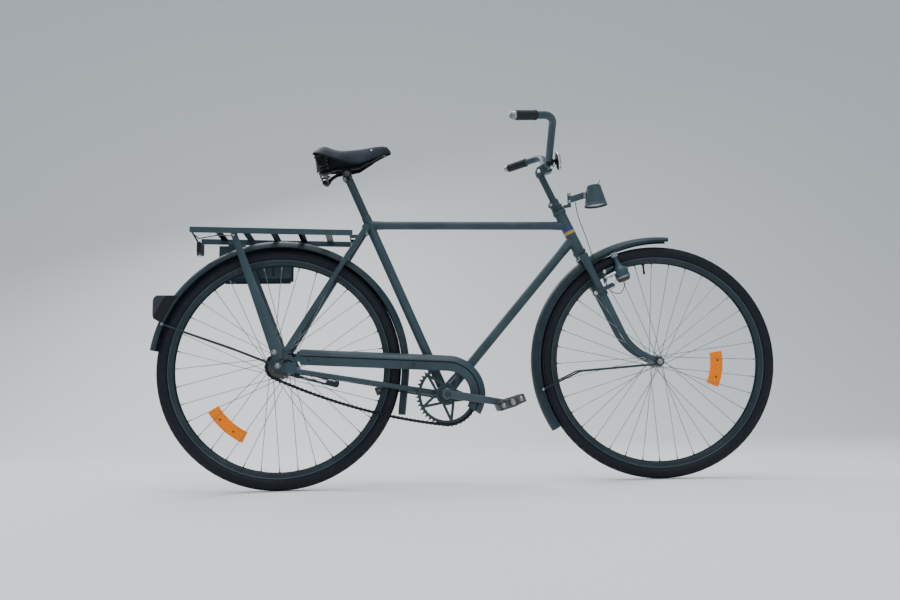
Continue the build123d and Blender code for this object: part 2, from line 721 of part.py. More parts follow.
# Mudguards: a hollow gutter round the wheel. Columns: name, plane, axle ahead,
# crown radius, first angle, last angle, straight end at the first angle
GUARDS = (
    ("rear", SIDE, 0, REAR_GUARD_CROWN, -6, 171.5, 108),
    ("front", FORK, WHEELBASE, FRONT_GUARD_CROWN, 82.5, 212.5, 0),
)
GUTTER_HALF = 27
GUTTER_DEPTH = 21
for name, plane, ahead, crown, first, last, straight in GUARDS:
    cross = section_plane(plane, ahead, 0, first)
    with BuildPart() as mudguard:
        with BuildSketch(cross) as gutter:
            with BuildLine():
                ThreePointArc((crown - GUTTER_DEPTH, -GUTTER_HALF), (crown, 0), (crown - GUTTER_DEPTH, GUTTER_HALF))
                ThreePointArc(
                    (crown - GUTTER_DEPTH, SHEET - GUTTER_HALF),
                    (crown - SHEET, 0),
                    (crown - GUTTER_DEPTH, GUTTER_HALF - SHEET),
                )
                Line((crown - GUTTER_DEPTH, -GUTTER_HALF), (crown - GUTTER_DEPTH, SHEET - GUTTER_HALF))
                Line((crown - GUTTER_DEPTH, GUTTER_HALF - SHEET), (crown - GUTTER_DEPTH, GUTTER_HALF))
            make_face()
        revolve(axis=axle(plane, ahead, 0), revolution_arc=last - first)
        if straight:
            extrude(gutter.sketch, amount=straight)
            for side in (1, -1):
                bar(
                    spot(*CHAIN_STAY_END, side * PLATE_MIDDLE),
                    spot(*STAY_BEND[:2], side * STAY_BEND[2]),
                    6 + SEATED,
                    8 + SEATED,
                    Mode.SUBTRACT,
                )
                bar(
                    spot(*STAY_BEND[:2], side * STAY_BEND[2]),
                    spot(*BRACKET, side * 20),
                    8 + SEATED,
                    9.5 + SEATED,
                    Mode.SUBTRACT,
                )
    mudguard.part.label = f"{name}_mudguard"
    export_step(mudguard.part, f"parts/{name}_mudguard.step")

# Mudguard stays: thin rods from eyes on the axles.
# Columns: name, plane, axle ahead, out of the eye, points of the right rod
STAY_ROD = 2.5
GUARD_STAYS = (
    ("rear", SIDE, 0, REAR_EYE_OUT, ((-12, 5, 67.9), (-42, 17, 67.9), (-140, 57, 54), (-337, 129, 29.8))),
    ("front", FORK, WHEELBASE, FRONT_EYE_OUT, ((WHEELBASE - 9, -9, 56.9), (902, -25, 52), (790, -78, 29.8))),
)
for name, plane, ahead, eye_out, points in GUARD_STAYS:
    with BuildPart() as guard_stays:
        for side in (1, -1):
            with BuildSketch(plane.offset(side * eye_out)):
                with Locations((ahead, 0)):
                    Circle(13.5)
                    Circle(AXLE_RADIUS, mode=Mode.SUBTRACT)
            extrude(amount=side * EYE_THICK)
            with BuildLine() as rod_path:
                FilletPolyline(*[spot(x, up, side * out, plane) for x, up, out in points], radius=30)
            with BuildSketch(Plane(origin=rod_path.wire() @ 0, z_dir=rod_path.wire() % 0)):
                Circle(STAY_ROD)
            sweep(path=rod_path.wire())
    guard_stays.part.label = f"{name}_guard_stays"
    export_step(guard_stays.part, f"parts/{name}_guard_stays.step")

# Carrier
RACK_TOP_UP = 407
RACK_FALL = 1.16
RAIL_HIGH = 16.5
RAIL_THICK = 5
RACK_REAR = -255
RACK_FRONT = 214
SLAT_FIRST = -183
SLAT_STEP = 81
SLATS = 5
SLAT_WIDE = 20
LUG_OUT = 30


def rack_up(x):
    """The height of the carrier's top, which falls a little towards the front."""
    return RACK_TOP_UP - (x - RACK_REAR) * tan(radians(RACK_FALL))


with BuildPart() as rack_platform:
    for side in (1, -1):
        with BuildSketch(SIDE.offset(side * RACK_HALF)):
            middle_x = (RACK_REAR + RACK_FRONT) / 2
            with Locations(Location((middle_x, rack_up(middle_x) - RAIL_HIGH / 2), -RACK_FALL)):
                RectangleRounded(RACK_FRONT - RACK_REAR, RAIL_HIGH, 2)
        extrude(amount=-side * RAIL_THICK)
    for slat in range(SLATS):
        slat_x = SLAT_FIRST + slat * SLAT_STEP
        with BuildSketch(SIDE):
            with Locations(Location((slat_x, rack_up(slat_x) - 2.5), -RACK_FALL)):
                Rectangle(SLAT_WIDE, 3)
        extrude(amount=RACK_HALF - RAIL_THICK, both=True)
    with BuildSketch(SIDE):
        with Locations((RACK_FRONT - 8, rack_up(RACK_FRONT - 8) - RAIL_HIGH / 2)):
            Rectangle(3, RAIL_HIGH - 4)
    extrude(amount=RACK_HALF - RAIL_THICK, both=True)
    for side in (1, -1):
        with BuildSketch(SIDE.offset(side * LUG_OUT)):
            with Locations((RACK_FRONT + 8, rack_up(RACK_FRONT) - RAIL_HIGH / 2)):
                Rectangle(30, RAIL_HIGH - 6)
        extrude(amount=side * 4)
    add(seat_stays.part, mode=Mode.SUBTRACT)
rack_platform.part.label = "rack_platform"
export_step(rack_platform.part, "parts/rack_platform.step")

# Flat struts from the axle to the rails, wide at the foot
STRUT_THICK = 3
STRUT_TOP = (-131, rack_up(-131) - RAIL_HIGH + 2)
STRUT_FOOT_OUT = REAR_DROPOUT + PLATE + 0.8
with BuildPart() as rack_struts:
    for side in (1, -1):
        foot = spot(0, 0, side * STRUT_FOOT_OUT)
        top = spot(*STRUT_TOP, side * (RACK_HALF - RAIL_THICK - STRUT_THICK - SEATED))
        along = top - foot
        face = Plane(origin=foot, x_dir=along, z_dir=along.cross(Vector(1, 0, 0)) * side)
        length = along.length
        with BuildSketch(face):
            with BuildLine():
                Polyline(
                    (0, -14 * side),
                    (45, -9 * side),
                    (length, -8.7 * side),
                    (length, 8.7 * side),
                    (45, 26 * side),
                    (0, 16 * side),
                    close=True,
                )
            make_face()
            Circle(17)
            Circle(AXLE_RADIUS + SEATED, mode=Mode.SUBTRACT)
        extrude(amount=STRUT_THICK * (1 if face.z_dir.Y * side < 0 else -1))
rack_struts.part.label = "rack_struts"
export_step(rack_struts.part, "parts/rack_struts.step")

# Toolbox under the left rail, with a lid that opens outwards and down
BOX_REAR = -202
BOX_LENGTH = 222
BOX_LOW_UP = 283
BOX_HIGH = 103
BOX_IN = RACK_HALF + 3
BOX_DEEP = 64
BOX_WALL = 1.5
KNUCKLE = 3
KNUCKLE_GAP = 1
LID_OUT = BOX_IN + BOX_DEEP + SEATED
HINGE_OUT = LID_OUT + BOX_WALL / 2
HINGE_UP = BOX_LOW_UP - KNUCKLE - 0.2
box_middle = (BOX_REAR + BOX_LENGTH / 2, BOX_LOW_UP + BOX_HIGH / 2)
with BuildPart() as toolbox:
    with BuildSketch(SIDE.offset(-BOX_IN)):
        with Locations(box_middle):
            Rectangle(BOX_LENGTH, BOX_HIGH)
    extrude(amount=-BOX_DEEP)
    with BuildSketch(SIDE.offset(-BOX_IN - BOX_WALL)):
        with Locations(box_middle):
            Rectangle(BOX_LENGTH - 2 * BOX_WALL, BOX_HIGH - 2 * BOX_WALL)
    extrude(amount=-BOX_DEEP, mode=Mode.SUBTRACT)
    with BuildSketch(SIDE.offset(-RACK_HALF)):
        with Locations((BOX_REAR + 40, BOX_LOW_UP + BOX_HIGH + 2), (BOX_REAR + BOX_LENGTH - 40, BOX_LOW_UP + BOX_HIGH + 2)):
            Rectangle(24, 22)
    extrude(amount=-3)
    for knuckle_x in (BOX_REAR + 24, BOX_REAR + BOX_LENGTH - 24):
        bar(spot(knuckle_x - 15, HINGE_UP, -HINGE_OUT), spot(knuckle_x + 15, HINGE_UP, -HINGE_OUT), KNUCKLE)
        with BuildSketch(SIDE.offset(-HINGE_OUT)):
            with Locations((knuckle_x, HINGE_UP + 2)):
                Rectangle(30, 2)
        extrude(amount=12)
        with BuildSketch(SIDE.offset(-BOX_IN - BOX_DEEP)):
            with Locations((knuckle_x, BOX_LOW_UP - 0.5)):
                Rectangle(30, 2.5)
        extrude(amount=10)
toolbox.part.label = "toolbox"
export_step(toolbox.part, "parts/toolbox.step")

with BuildPart() as toolbox_lid:
    with BuildSketch(SIDE.offset(-LID_OUT)):
        with Locations(box_middle):
            Rectangle(BOX_LENGTH, BOX_HIGH)
    extrude(amount=-BOX_WALL)
    with BuildSketch(SIDE.offset(-LID_OUT - BOX_WALL)):
        with Locations((box_middle[0], BOX_LOW_UP + BOX_HIGH - 22)):
            Rectangle(22, 30)
    extrude(amount=-3)
    barrel = BOX_LENGTH / 2 - 39 - KNUCKLE_GAP
    with BuildSketch(SIDE.offset(-LID_OUT)):
        with Locations((box_middle[0], (HINGE_UP + BOX_LOW_UP) / 2 + 1)):
            Rectangle(2 * barrel, BOX_LOW_UP - HINGE_UP + 2)
    extrude(amount=-BOX_WALL)
    bar(spot(box_middle[0] - barrel, HINGE_UP, -HINGE_OUT), spot(box_middle[0] + barrel, HINGE_UP, -HINGE_OUT), KNUCKLE)
toolbox_lid.part.label = "toolbox_lid"
export_step(toolbox_lid.part, "parts/toolbox_lid.step")

# Rear reflector hung on a wire between the rail ends
HANGER = (-240, 358)
with BuildPart() as rack_reflector:
    with BuildSketch(SIDE):
        with Locations(HANGER):
            RectangleRounded(12, 34, 4)
    extrude(amount=25, both=True)
    for side in (1, -1):
        rail_end = spot(RACK_REAR + 8, rack_up(RACK_REAR + 8) - RAIL_HIGH, side * (RACK_HALF - 2.5))
        bar(rail_end, spot(HANGER[0] - 2, HANGER[1] + 14, side * 20), 2.5)
    add(rack_platform.part, mode=Mode.SUBTRACT)
rack_reflector.part.label = "rack_reflector"
export_step(rack_reflector.part, "parts/rack_reflector.step")

# Seat post, saddle and its springs
with BuildPart() as seat_post:
    bar(
        spot(seat_x(SEAT_POST_FOOT_UP), SEAT_POST_FOOT_UP),
        spot(seat_x(SEAT_POST_TOP_UP), SEAT_POST_TOP_UP),
        SEAT_POST / 2 - 0.05,
    )
seat_post.part.label = "seat_post"
export_step(seat_post.part, "parts/seat_post.step")

CLAMP = (196, 586)
RAIL_ROD = 4
SPRING_X = 119
SPRING_OUT = 50
SPRING_LOW_UP = 580
SPRING_COILS = 5
COIL_STEP = 11
NOSE_X = 312
NOSE_UP = 676
SPRING_TOP_UP = SPRING_LOW_UP + SPRING_COILS * COIL_STEP
with BuildPart() as saddle_frame:
    with BuildSketch(SIDE):
        with Locations(CLAMP):
            Circle(13)
    extrude(amount=30, both=True)
    for side in (1, -1):
        with BuildLine() as rail_path:
            FilletPolyline(
                spot(NOSE_X + 2, NOSE_UP - 17, side * 3),
                spot(268, 628, side * 14),
                spot(233, 606, side * 20),
                spot(185, 600, side * 26),
                spot(140, 594, side * 38),
                spot(SPRING_X + 3, SPRING_LOW_UP + 1, side * SPRING_OUT),
                radius=12,
            )
        with BuildSketch(Plane(origin=rail_path.wire() @ 0, z_dir=rail_path.wire() % 0)):
            Circle(RAIL_ROD)
        sweep(path=rail_path.wire())
        for coil in range(SPRING_COILS):
            low = SPRING_LOW_UP + coil * COIL_STEP
            middle = spot(SPRING_X, low + COIL_STEP / 2, side * SPRING_OUT)
            bar(spot(SPRING_X, low, side * SPRING_OUT), middle, 13, 19)
            bar(middle, spot(SPRING_X, low + COIL_STEP, side * SPRING_OUT), 19, 13)
    bar(
        spot(SPRING_X + 3, SPRING_LOW_UP - 1, SPRING_OUT + 2),
        spot(SPRING_X + 3, SPRING_LOW_UP - 1, -SPRING_OUT - 2),
        RAIL_ROD,
    )
    with BuildSketch(Plane.XY.offset(AXLE_Z + SPRING_TOP_UP)):
        with Locations((REAR_X + 112, 0)):
            RectangleRounded(40, 156, 12)
    extrude(amount=3)
    bar(spot(NOSE_X, NOSE_UP - 24), spot(NOSE_X, NOSE_UP - 2), 5)
    for side in (1, -1):
        bar(spot(112, SPRING_TOP_UP, side * 70), spot(112, 651, side * 70), 5)
    add(seat_post.part, mode=Mode.SUBTRACT)
saddle_frame.part.label = "saddle_frame"
export_step(saddle_frame.part, "parts/saddle_frame.step")

# Leather top: arched sections from nose to tail.
# Columns: x, crown height, edge height, half width at the edge
LEATHER = 4
SADDLE_SECTIONS = (
    (332, 659, 653, 8),
    (NOSE_X - 4, NOSE_UP + 3, 647, 17),
    (226, 673, 618, 41),
    (170, 667, 624, 72),
    (118, 677, 630, 96),
    (90, 660, 633, 92),
)
with BuildPart() as saddle_cover:
    for x, crown, edge, half in SADDLE_SECTIONS:
        with BuildSketch(Plane(origin=spot(x, 0), x_dir=(0, 1, 0), z_dir=(1, 0, 0))):
            with BuildLine():
                ThreePointArc((-half, edge), (0, crown), (half, edge))
                ThreePointArc((LEATHER - half, edge), (0, crown - LEATHER), (half - LEATHER, edge))
                Line((-half, edge), (LEATHER - half, edge))
                Line((half - LEATHER, edge), (half, edge))
            make_face()
    loft()
    add(saddle_frame.part, mode=Mode.SUBTRACT)
saddle_cover.part.label = "saddle_cover"
export_step(saddle_cover.part, "parts/saddle_cover.step")

# Rear lamp on the mudguard: an upright housing on a shoe that fits the guard
LAMP_ANGLE = 152
LAMP_HALF = 24
LAMP_SEAT = REAR_GUARD_CROWN + 13
LAMP_SHAPE = ((46, 35), (-21, 35), (-30, 30), (-33, 21), (-33, -20), (-28, -32), (-16, -39), (11, -39))
lamp_root = polar(REAR_GUARD_CROWN, LAMP_ANGLE)
LAMP_OUTLINE = [(lamp_root[0] + x, lamp_root[1] + up) for x, up in LAMP_SHAPE]
with BuildPart() as rear_lamp_base:
    with BuildSketch(SIDE):
        with BuildLine():
            Polyline(*LAMP_OUTLINE, close=True)
        make_face()
    extrude(amount=LAMP_HALF + 1, both=True)
    with BuildSketch(SIDE):
        Circle(LAMP_SEAT)
    extrude(amount=LAMP_HALF + 1, both=True, mode=Mode.INTERSECT)
    with BuildSketch(section_plane(SIDE, GUARDS[0][2], 0, LAMP_ANGLE - 10)):
        with BuildLine():
            crown = GUARDS[0][3] + SEATED
            ThreePointArc((crown - GUTTER_DEPTH, -GUTTER_HALF), (crown, 0), (crown - GUTTER_DEPTH, GUTTER_HALF))
            Line((crown - GUTTER_DEPTH, GUTTER_HALF), (0, GUTTER_HALF))
            Line((0, GUTTER_HALF), (0, -GUTTER_HALF))
            Line((0, -GUTTER_HALF), (crown - GUTTER_DEPTH, -GUTTER_HALF))
        make_face()
    revolve(axis=axle(SIDE, GUARDS[0][2], 0), revolution_arc=20, mode=Mode.SUBTRACT)
rear_lamp_base.part.label = "rear_lamp_base"
export_step(rear_lamp_base.part, "parts/rear_lamp_base.step")

with BuildPart() as rear_lamp_lens:
    with BuildSketch(SIDE):
        with BuildLine():
            Polyline(*LAMP_OUTLINE, close=True)
        make_face()
        Circle(LAMP_SEAT + SEATED, mode=Mode.SUBTRACT)
    extrude(amount=LAMP_HALF, both=True)
    chamfer(rear_lamp_lens.faces().sort_by(Axis.X)[0].edges().filter_by(Axis.Z), 5)
rear_lamp_lens.part.label = "rear_lamp_lens"
export_step(rear_lamp_lens.part, "parts/rear_lamp_lens.step")

# Fork
CROWN_UP = 328
CROWN_HALF = 45
BLADE_TOP = 12.5
BLADE_TIP = 8.2
with BuildPart() as fork_crown:
    crown_plane = Plane(origin=head_spot(CROWN_UP - 5, plane=FORK), x_dir=FORK.z_dir, z_dir=turned(STEER_UP))
    with BuildSketch(crown_plane):
        SlotOverall(2 * CROWN_HALF + 28, 28)
    extrude(amount=11)
    bar(head_spot(CROWN_UP, plane=FORK), head_spot(HEAD_TUBE_LOW_UP - SEATED, plane=FORK), HEAD_TUBE / 2)
    bar(head_spot(CROWN_UP, plane=FORK), head_spot(HEAD_TOP_UP + 20, plane=FORK), STEERER_RADIUS)
fork_crown.part.label = "fork_crown"
export_step(fork_crown.part, "parts/fork_crown.step")

# The blades run straight along the steering axis, then curve forward to the axle.
BLADE_ARC = 162
BLADE_SWEEP = 45.6
BLADE_BEND_UP = 93
BLADE_OUT = 51.5
with BuildPart() as fork_blades:
    for side in (1, -1):
        blade_top = spot(head_x(CROWN_UP - 5), CROWN_UP - 5, side * CROWN_HALF, FORK)
        blade_bend = spot(head_x(BLADE_BEND_UP), BLADE_BEND_UP, side * BLADE_OUT, FORK)
        bar(blade_top, blade_bend + (blade_bend - blade_top).normalized() * 6, BLADE_TOP, BLADE_TIP + 0.5)
        ahead = turned(Vector(cos(radians(HEAD_TILT)), 0, sin(radians(HEAD_TILT))))
        with BuildSketch(Plane(origin=blade_bend, x_dir=ahead, z_dir=-turned(STEER_UP))) as blade:
            Circle(BLADE_TIP)
        curl = Axis(tuple(blade_bend + ahead * BLADE_ARC), tuple(FORK.z_dir))
        revolve(blade.sketch, axis=curl, revolution_arc=BLADE_SWEEP)
        with BuildSketch(FORK.offset(side * FRONT_DROPOUT)):
            with Locations((WHEELBASE, 0)):
                Circle(13)
            with Locations((1126, 7)):
                Circle(9)
            make_hull()
            with Locations((WHEELBASE, 0)):
                Circle(AXLE_RADIUS + SEATED, mode=Mode.SUBTRACT)
        extrude(amount=side * PLATE)
    add(fork_crown.part, mode=Mode.SUBTRACT)
fork_blades.part.label = "fork_blades"
export_step(fork_blades.part, "parts/fork_blades.step")

with BuildPart() as front_axle:
    with BuildSketch(FORK):
        with Locations((WHEELBASE, 0)):
            Circle(AXLE_RADIUS)
    extrude(amount=64, both=True)
    for side in (1, -1):
        with BuildSketch(FORK.offset(side * FRONT_DROPOUT)):
            with Locations((WHEELBASE, 0)):
                Circle(9)
        extrude(amount=-side * 9)
        with BuildSketch(FORK.offset(side * (FRONT_EYE_OUT + EYE_THICK))):
            with Locations((WHEELBASE, 0)):
                RegularPolygon(9, 6)
        extrude(amount=side * 7)
front_axle.part.label = "front_axle"
export_step(front_axle.part, "parts/front_axle.step")

# Headset nut, stem and bars
BAR_CENTRE = (826, 617)
with BuildPart() as headset:
    bar(head_spot(HEAD_TOP_UP + SEATED, plane=FORK), head_spot(HEAD_TOP_UP + 9, plane=FORK), HEAD_TUBE / 2 + 2)
    bar(head_spot(HEAD_TOP_UP + 9, plane=FORK), head_spot(HEAD_TOP_UP + 17, plane=FORK), HEAD_TUBE / 2 - 1)
    bar(
        head_spot(HEAD_TOP_UP - 1, plane=FORK),
        head_spot(HEAD_TOP_UP + 20, plane=FORK),
        STEERER_RADIUS,
        mode=Mode.SUBTRACT,
    )
headset.part.label = "headset"
export_step(headset.part, "parts/headset.step")

STEM_TOP_UP = 604
with BuildPart() as stem:
    bar(head_spot(HEAD_TOP_UP + 20, plane=FORK), head_spot(STEM_TOP_UP, plane=FORK), 11)
    with BuildSketch(FORK):
        with Locations(BAR_CENTRE):
            Circle(17)
        with Locations((head_x(STEM_TOP_UP), STEM_TOP_UP)):
            Circle(11)
        make_hull()
    extrude(amount=19, both=True)
    with BuildSketch(FORK):
        with Locations(BAR_CENTRE):
            Circle(BAR_TUBE / 2)
    extrude(amount=19, both=True, mode=Mode.SUBTRACT)
stem.part.label = "stem"
export_step(stem.part, "parts/stem.step")

# Columns: x, up, out; the bar rises from the clamp and sweeps back to the grips
BAR_POINTS = ((826, 617, 0), (826, 617, 45), (829, 716, 226), (707, 696, GRIP_HALF))
BAR_RADII = (40, 50)
with BuildPart() as handlebar:
    for side in (1, -1):
        with BuildLine() as bar_path:
            FilletPolyline(*[spot(x, up, side * out, FORK) for x, up, out in BAR_POINTS], radius=BAR_RADII)
        with BuildSketch(Plane(origin=bar_path.wire() @ 0, z_dir=bar_path.wire() % 0)):
            Circle(BAR_TUBE / 2)
        sweep(path=bar_path.wire())
handlebar.part.label = "handlebar"
export_step(handlebar.part, "parts/handlebar.step")

GRIP_LENGTH = 80
GRIP_RADIUS = 15.2
with BuildPart() as grips:
    for side in (1, -1):
        end = spot(*BAR_POINTS[3][:2], side * BAR_POINTS[3][2], FORK)
        bend = spot(*BAR_POINTS[2][:2], side * BAR_POINTS[2][2], FORK)
        run = (bend - end).normalized()
        bar(end - run * 6, end - run * 2, 12, GRIP_RADIUS)
        bar(end - run * 2, end + run * GRIP_LENGTH, GRIP_RADIUS)
        bar(end, end + run * (GRIP_LENGTH + 1), BAR_TUBE / 2, mode=Mode.SUBTRACT)
grips.part.label = "grips"
export_step(grips.part, "parts/grips.step")

# Columns: x, up, out of the bell's rim; the dome faces forward and a little up
BELL = (857, 624, 62)
BELL_RADIUS = 30
BELL_LEAN = 14
with BuildPart() as bell:
    rim = spot(*BELL, FORK)
    facing = FORK.x_dir * cos(radians(BELL_LEAN)) + FORK.y_dir * sin(radians(BELL_LEAN))
    bar(rim - facing * 5, rim, BELL_RADIUS)
    bar(rim, rim + facing * 6, BELL_RADIUS, BELL_RADIUS - 6)
    bar(rim + facing * 6, rim + facing * 10, BELL_RADIUS - 6, BELL_RADIUS - 18)
    bar(rim - facing * 5, rim - facing * 26, 8)
    add(handlebar.part, mode=Mode.SUBTRACT)
bell.part.label = "bell"
export_step(bell.part, "parts/bell.step")

# Headlamp: a cone that hangs with its glass facing down, on a forward bracket
LAMP_TOP = (971, 562)
LAMP_FOOT = (977, 488)
with BuildPart() as headlamp:
    bar(spot(*LAMP_FOOT, 0, FORK), spot(*LAMP_TOP, 0, FORK), 35.5, 21)
    bar(spot(*LAMP_FOOT, 0, FORK), spot(LAMP_TOP[0], LAMP_TOP[1] - 2.5, 0, FORK), 34, 19, mode=Mode.SUBTRACT)
headlamp.part.label = "headlamp"
export_step(headlamp.part, "parts/headlamp.step")

with BuildPart() as headlamp_lens:
    lamp_foot = spot(*LAMP_FOOT, 0, FORK)
    lamp_rise = spot(*LAMP_TOP, 0, FORK) - lamp_foot
    bar(lamp_foot + lamp_rise * 0.04, lamp_foot + lamp_rise * 0.08, 33, 32.4)
headlamp_lens.part.label = "headlamp_lens"
export_step(headlamp_lens.part, "parts/headlamp_lens.step")

BRACKET_PLATE = 3
with BuildPart() as lamp_bracket:
    with BuildSketch(FORK.offset(-BRACKET_PLATE / 2)):
        with BuildLine():
            Polyline(
                (873, 487),
                (897, 490),
                (897, 504),
                (946.5, 519),
                (949, 541),
                (897, 525),
                (897, 536),
                (886, 536),
                (886, 499),
                (873, 497),
                close=True,
            )
        make_face()
    extrude(amount=BRACKET_PLATE)
    add(headset.part, mode=Mode.SUBTRACT)
    add(fork_crown.part, mode=Mode.SUBTRACT)
    add(headlamp.part, mode=Mode.SUBTRACT)
lamp_bracket.part.label = "lamp_bracket"
export_step(lamp_bracket.part, "parts/lamp_bracket.step")

# Bottle dynamo beside the front tyre
DYNAMO_OUT = 38
DYNAMO_FOOT = (1050, 251)
DYNAMO_CAP = (1019, 327)
with BuildPart() as dynamo:
    foot = spot(*DYNAMO_FOOT, DYNAMO_OUT, FORK)
    cap = spot(*DYNAMO_CAP, DYNAMO_OUT, FORK)
    rise = cap - foot
    bar(foot, foot + rise * 0.45, 19)
    bar(foot + rise * 0.45, foot + rise * 0.62, 19, 8)
    bar(foot + rise * 0.62, foot + rise * 0.8, 8)
    bar(foot + rise * 0.8, foot + rise, 10)
dynamo.part.label = "dynamo"
export_step(dynamo.part, "parts/dynamo.step")

with BuildPart() as dynamo_bracket:
    clamp_at = spot(head_x(211), 211, 48, FORK)
    bar(clamp_at - turned(STEER_UP) * 8, clamp_at + turned(STEER_UP) * 8, 15)
    bar(clamp_at, spot(1020, 262, 46, FORK), 6)
    add(fork_blades.part, mode=Mode.SUBTRACT)
    add(dynamo.part, mode=Mode.SUBTRACT)
dynamo_bracket.part.label = "dynamo_bracket"
export_step(dynamo_bracket.part, "parts/dynamo_bracket.step")

# Lamp wire, clipped from the bracket to the dynamo. Columns: x, up, out
WIRE = 1.25
WIRE_POINTS = (
    (911, 507, 0),
    (913, 478, 4),
    (921, 444, 9),
    (935, 400, 18),
    (946, 358, 29),
    (954, 322, 37),
    (970, 284, 46),
    (984, 246, 57),
    (1000, 212, 57),
    (1044, 206, 44),
    (1050, 251, 38),
)
with BuildPart() as lamp_wire:
    with BuildLine() as wire_path:
        FilletPolyline(*[spot(x, up, out, FORK) for x, up, out in WIRE_POINTS], radius=14)
    with BuildSketch(Plane(origin=wire_path.wire() @ 0, z_dir=wire_path.wire() % 0)):
        Circle(WIRE)
    sweep(path=wire_path.wire())
lamp_wire.part.label = "lamp_wire"
export_step(lamp_wire.part, "parts/lamp_wire.step")

print("links", LINKS, "loop", round(loop.length, 2))
for title, point in (
    ("steering foot", STEER_FOOT),
    ("rear axle", spot(0, 0)),
    ("front axle", spot(WHEELBASE, 0, 0, FORK)),
    ("bracket", spot(*BRACKET)),
    ("right eye", spot(*EYE, PEDAL_IN)),
    ("left eye", spot(*REAR_EYE, -PEDAL_IN)),
    ("lid hinge", spot(box_middle[0], HINGE_UP, -HINGE_OUT)),
):
    print(title, [round(v / 1000, 6) for v in (point.X, point.Y, point.Z)])
print("steering axis", STEER_UP, "front axle direction", -FORK.z_dir)
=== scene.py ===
# %% [markdown] An army roadster bicycle is dressed here for its portrait. What is
# added rides on those bodies, so it turns with them.

# %% Load the frame
from math import atan2, cos, degrees, pi, radians, sin, tan

import bmesh
import bpy
from mathutils import Matrix, Vector


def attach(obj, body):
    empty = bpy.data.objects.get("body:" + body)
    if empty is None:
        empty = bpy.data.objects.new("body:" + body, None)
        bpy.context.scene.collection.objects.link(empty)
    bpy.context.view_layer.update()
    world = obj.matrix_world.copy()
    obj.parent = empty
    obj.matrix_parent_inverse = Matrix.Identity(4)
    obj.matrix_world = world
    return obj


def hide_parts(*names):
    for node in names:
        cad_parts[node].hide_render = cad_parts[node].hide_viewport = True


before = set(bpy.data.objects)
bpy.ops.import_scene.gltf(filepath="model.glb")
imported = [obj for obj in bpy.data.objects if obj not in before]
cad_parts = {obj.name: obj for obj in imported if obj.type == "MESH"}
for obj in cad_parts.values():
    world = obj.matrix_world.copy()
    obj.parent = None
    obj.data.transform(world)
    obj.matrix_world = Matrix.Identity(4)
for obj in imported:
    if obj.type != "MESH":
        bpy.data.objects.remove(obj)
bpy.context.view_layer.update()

# %% [markdown]
# The bicycle is drawn from its side, as a builder would: forward and up from the rear
# axle, and out to the right. The front fork has its own side view, because it rests
# turned a little to the right. Small matrices carry such a drawing into the scene, and
# the front wheel's has its origin on the front axle.

# %% Side views of the frame, the fork and the front wheel
MM = 0.001
REAR_AXLE = Vector((-0.150, 0, -0.661))
WHEELBASE = 1140
FORK_RAKE = 60
HEAD_TILT = radians(24.4)
STEER_REST = radians(-9)
AXIS_FOOT = WHEELBASE - FORK_RAKE / cos(HEAD_TILT)
STEER_UP = Vector((-sin(HEAD_TILT), 0, cos(HEAD_TILT)))

drawing = Matrix(((1, 0, 0), (0, 0, -1), (0, 1, 0))).to_4x4()
SIDE = Matrix.Translation(REAR_AXLE) @ drawing @ Matrix.Scale(MM, 4)
steer_foot = REAR_AXLE + Vector((AXIS_FOOT * MM, 0, 0))
to_axis = Matrix.Translation(steer_foot)
from_axis = Matrix.Translation(-steer_foot)
FORK = to_axis @ Matrix.Rotation(STEER_REST, 4, STEER_UP) @ from_axis @ SIDE
FRONT = FORK @ Matrix.Translation((WHEELBASE, 0, 0))


def spot(x, up, out=0, view=SIDE):
    """A point in the scene from its place on the side drawing, in millimetres."""
    return view @ Vector((x, up, out))


def head_x(up):
    """How far forward the steering axis is at a height."""
    return AXIS_FOOT - up * tan(HEAD_TILT)


print("front axle at", [round(v, 4) for v in spot(WHEELBASE, 0, 0, FORK)])

# %% [markdown]
# Shader maths reads best as ordinary sums. A Wire wraps a socket, and the usual
# operators add the Math nodes.

# %% Sums on sockets


class Wire:
    """A value in a material that takes part in ordinary arithmetic."""

    def __init__(self, finish, socket):
        self.finish = finish
        self.socket = socket

    def sum(self, operation, first, second):
        settings = {"operation": operation}
        return self.finish.node("ShaderNodeMath", settings, {0: first, 1: second})

    def __add__(self, other):
        return self.sum("ADD", self, other)

    def __radd__(self, other):
        return self.sum("ADD", other, self)

    def __sub__(self, other):
        return self.sum("SUBTRACT", self, other)

    def __rsub__(self, other):
        return self.sum("SUBTRACT", other, self)

    def __mul__(self, other):
        return self.sum("MULTIPLY", self, other)


SUMS = ("add__", "sub__", "mul__")
print("a Wire can", [name.strip("_") for name in vars(Wire) if name.endswith(SUMS)])

# %% [markdown]
# A Finish owns one material and adds any other node from its type, its settings and
# its sockets. The nodes that nearly every finish needs, such as noise, a ramp and a
# mix of two colours, have a method each.

# %% A material and its nodes


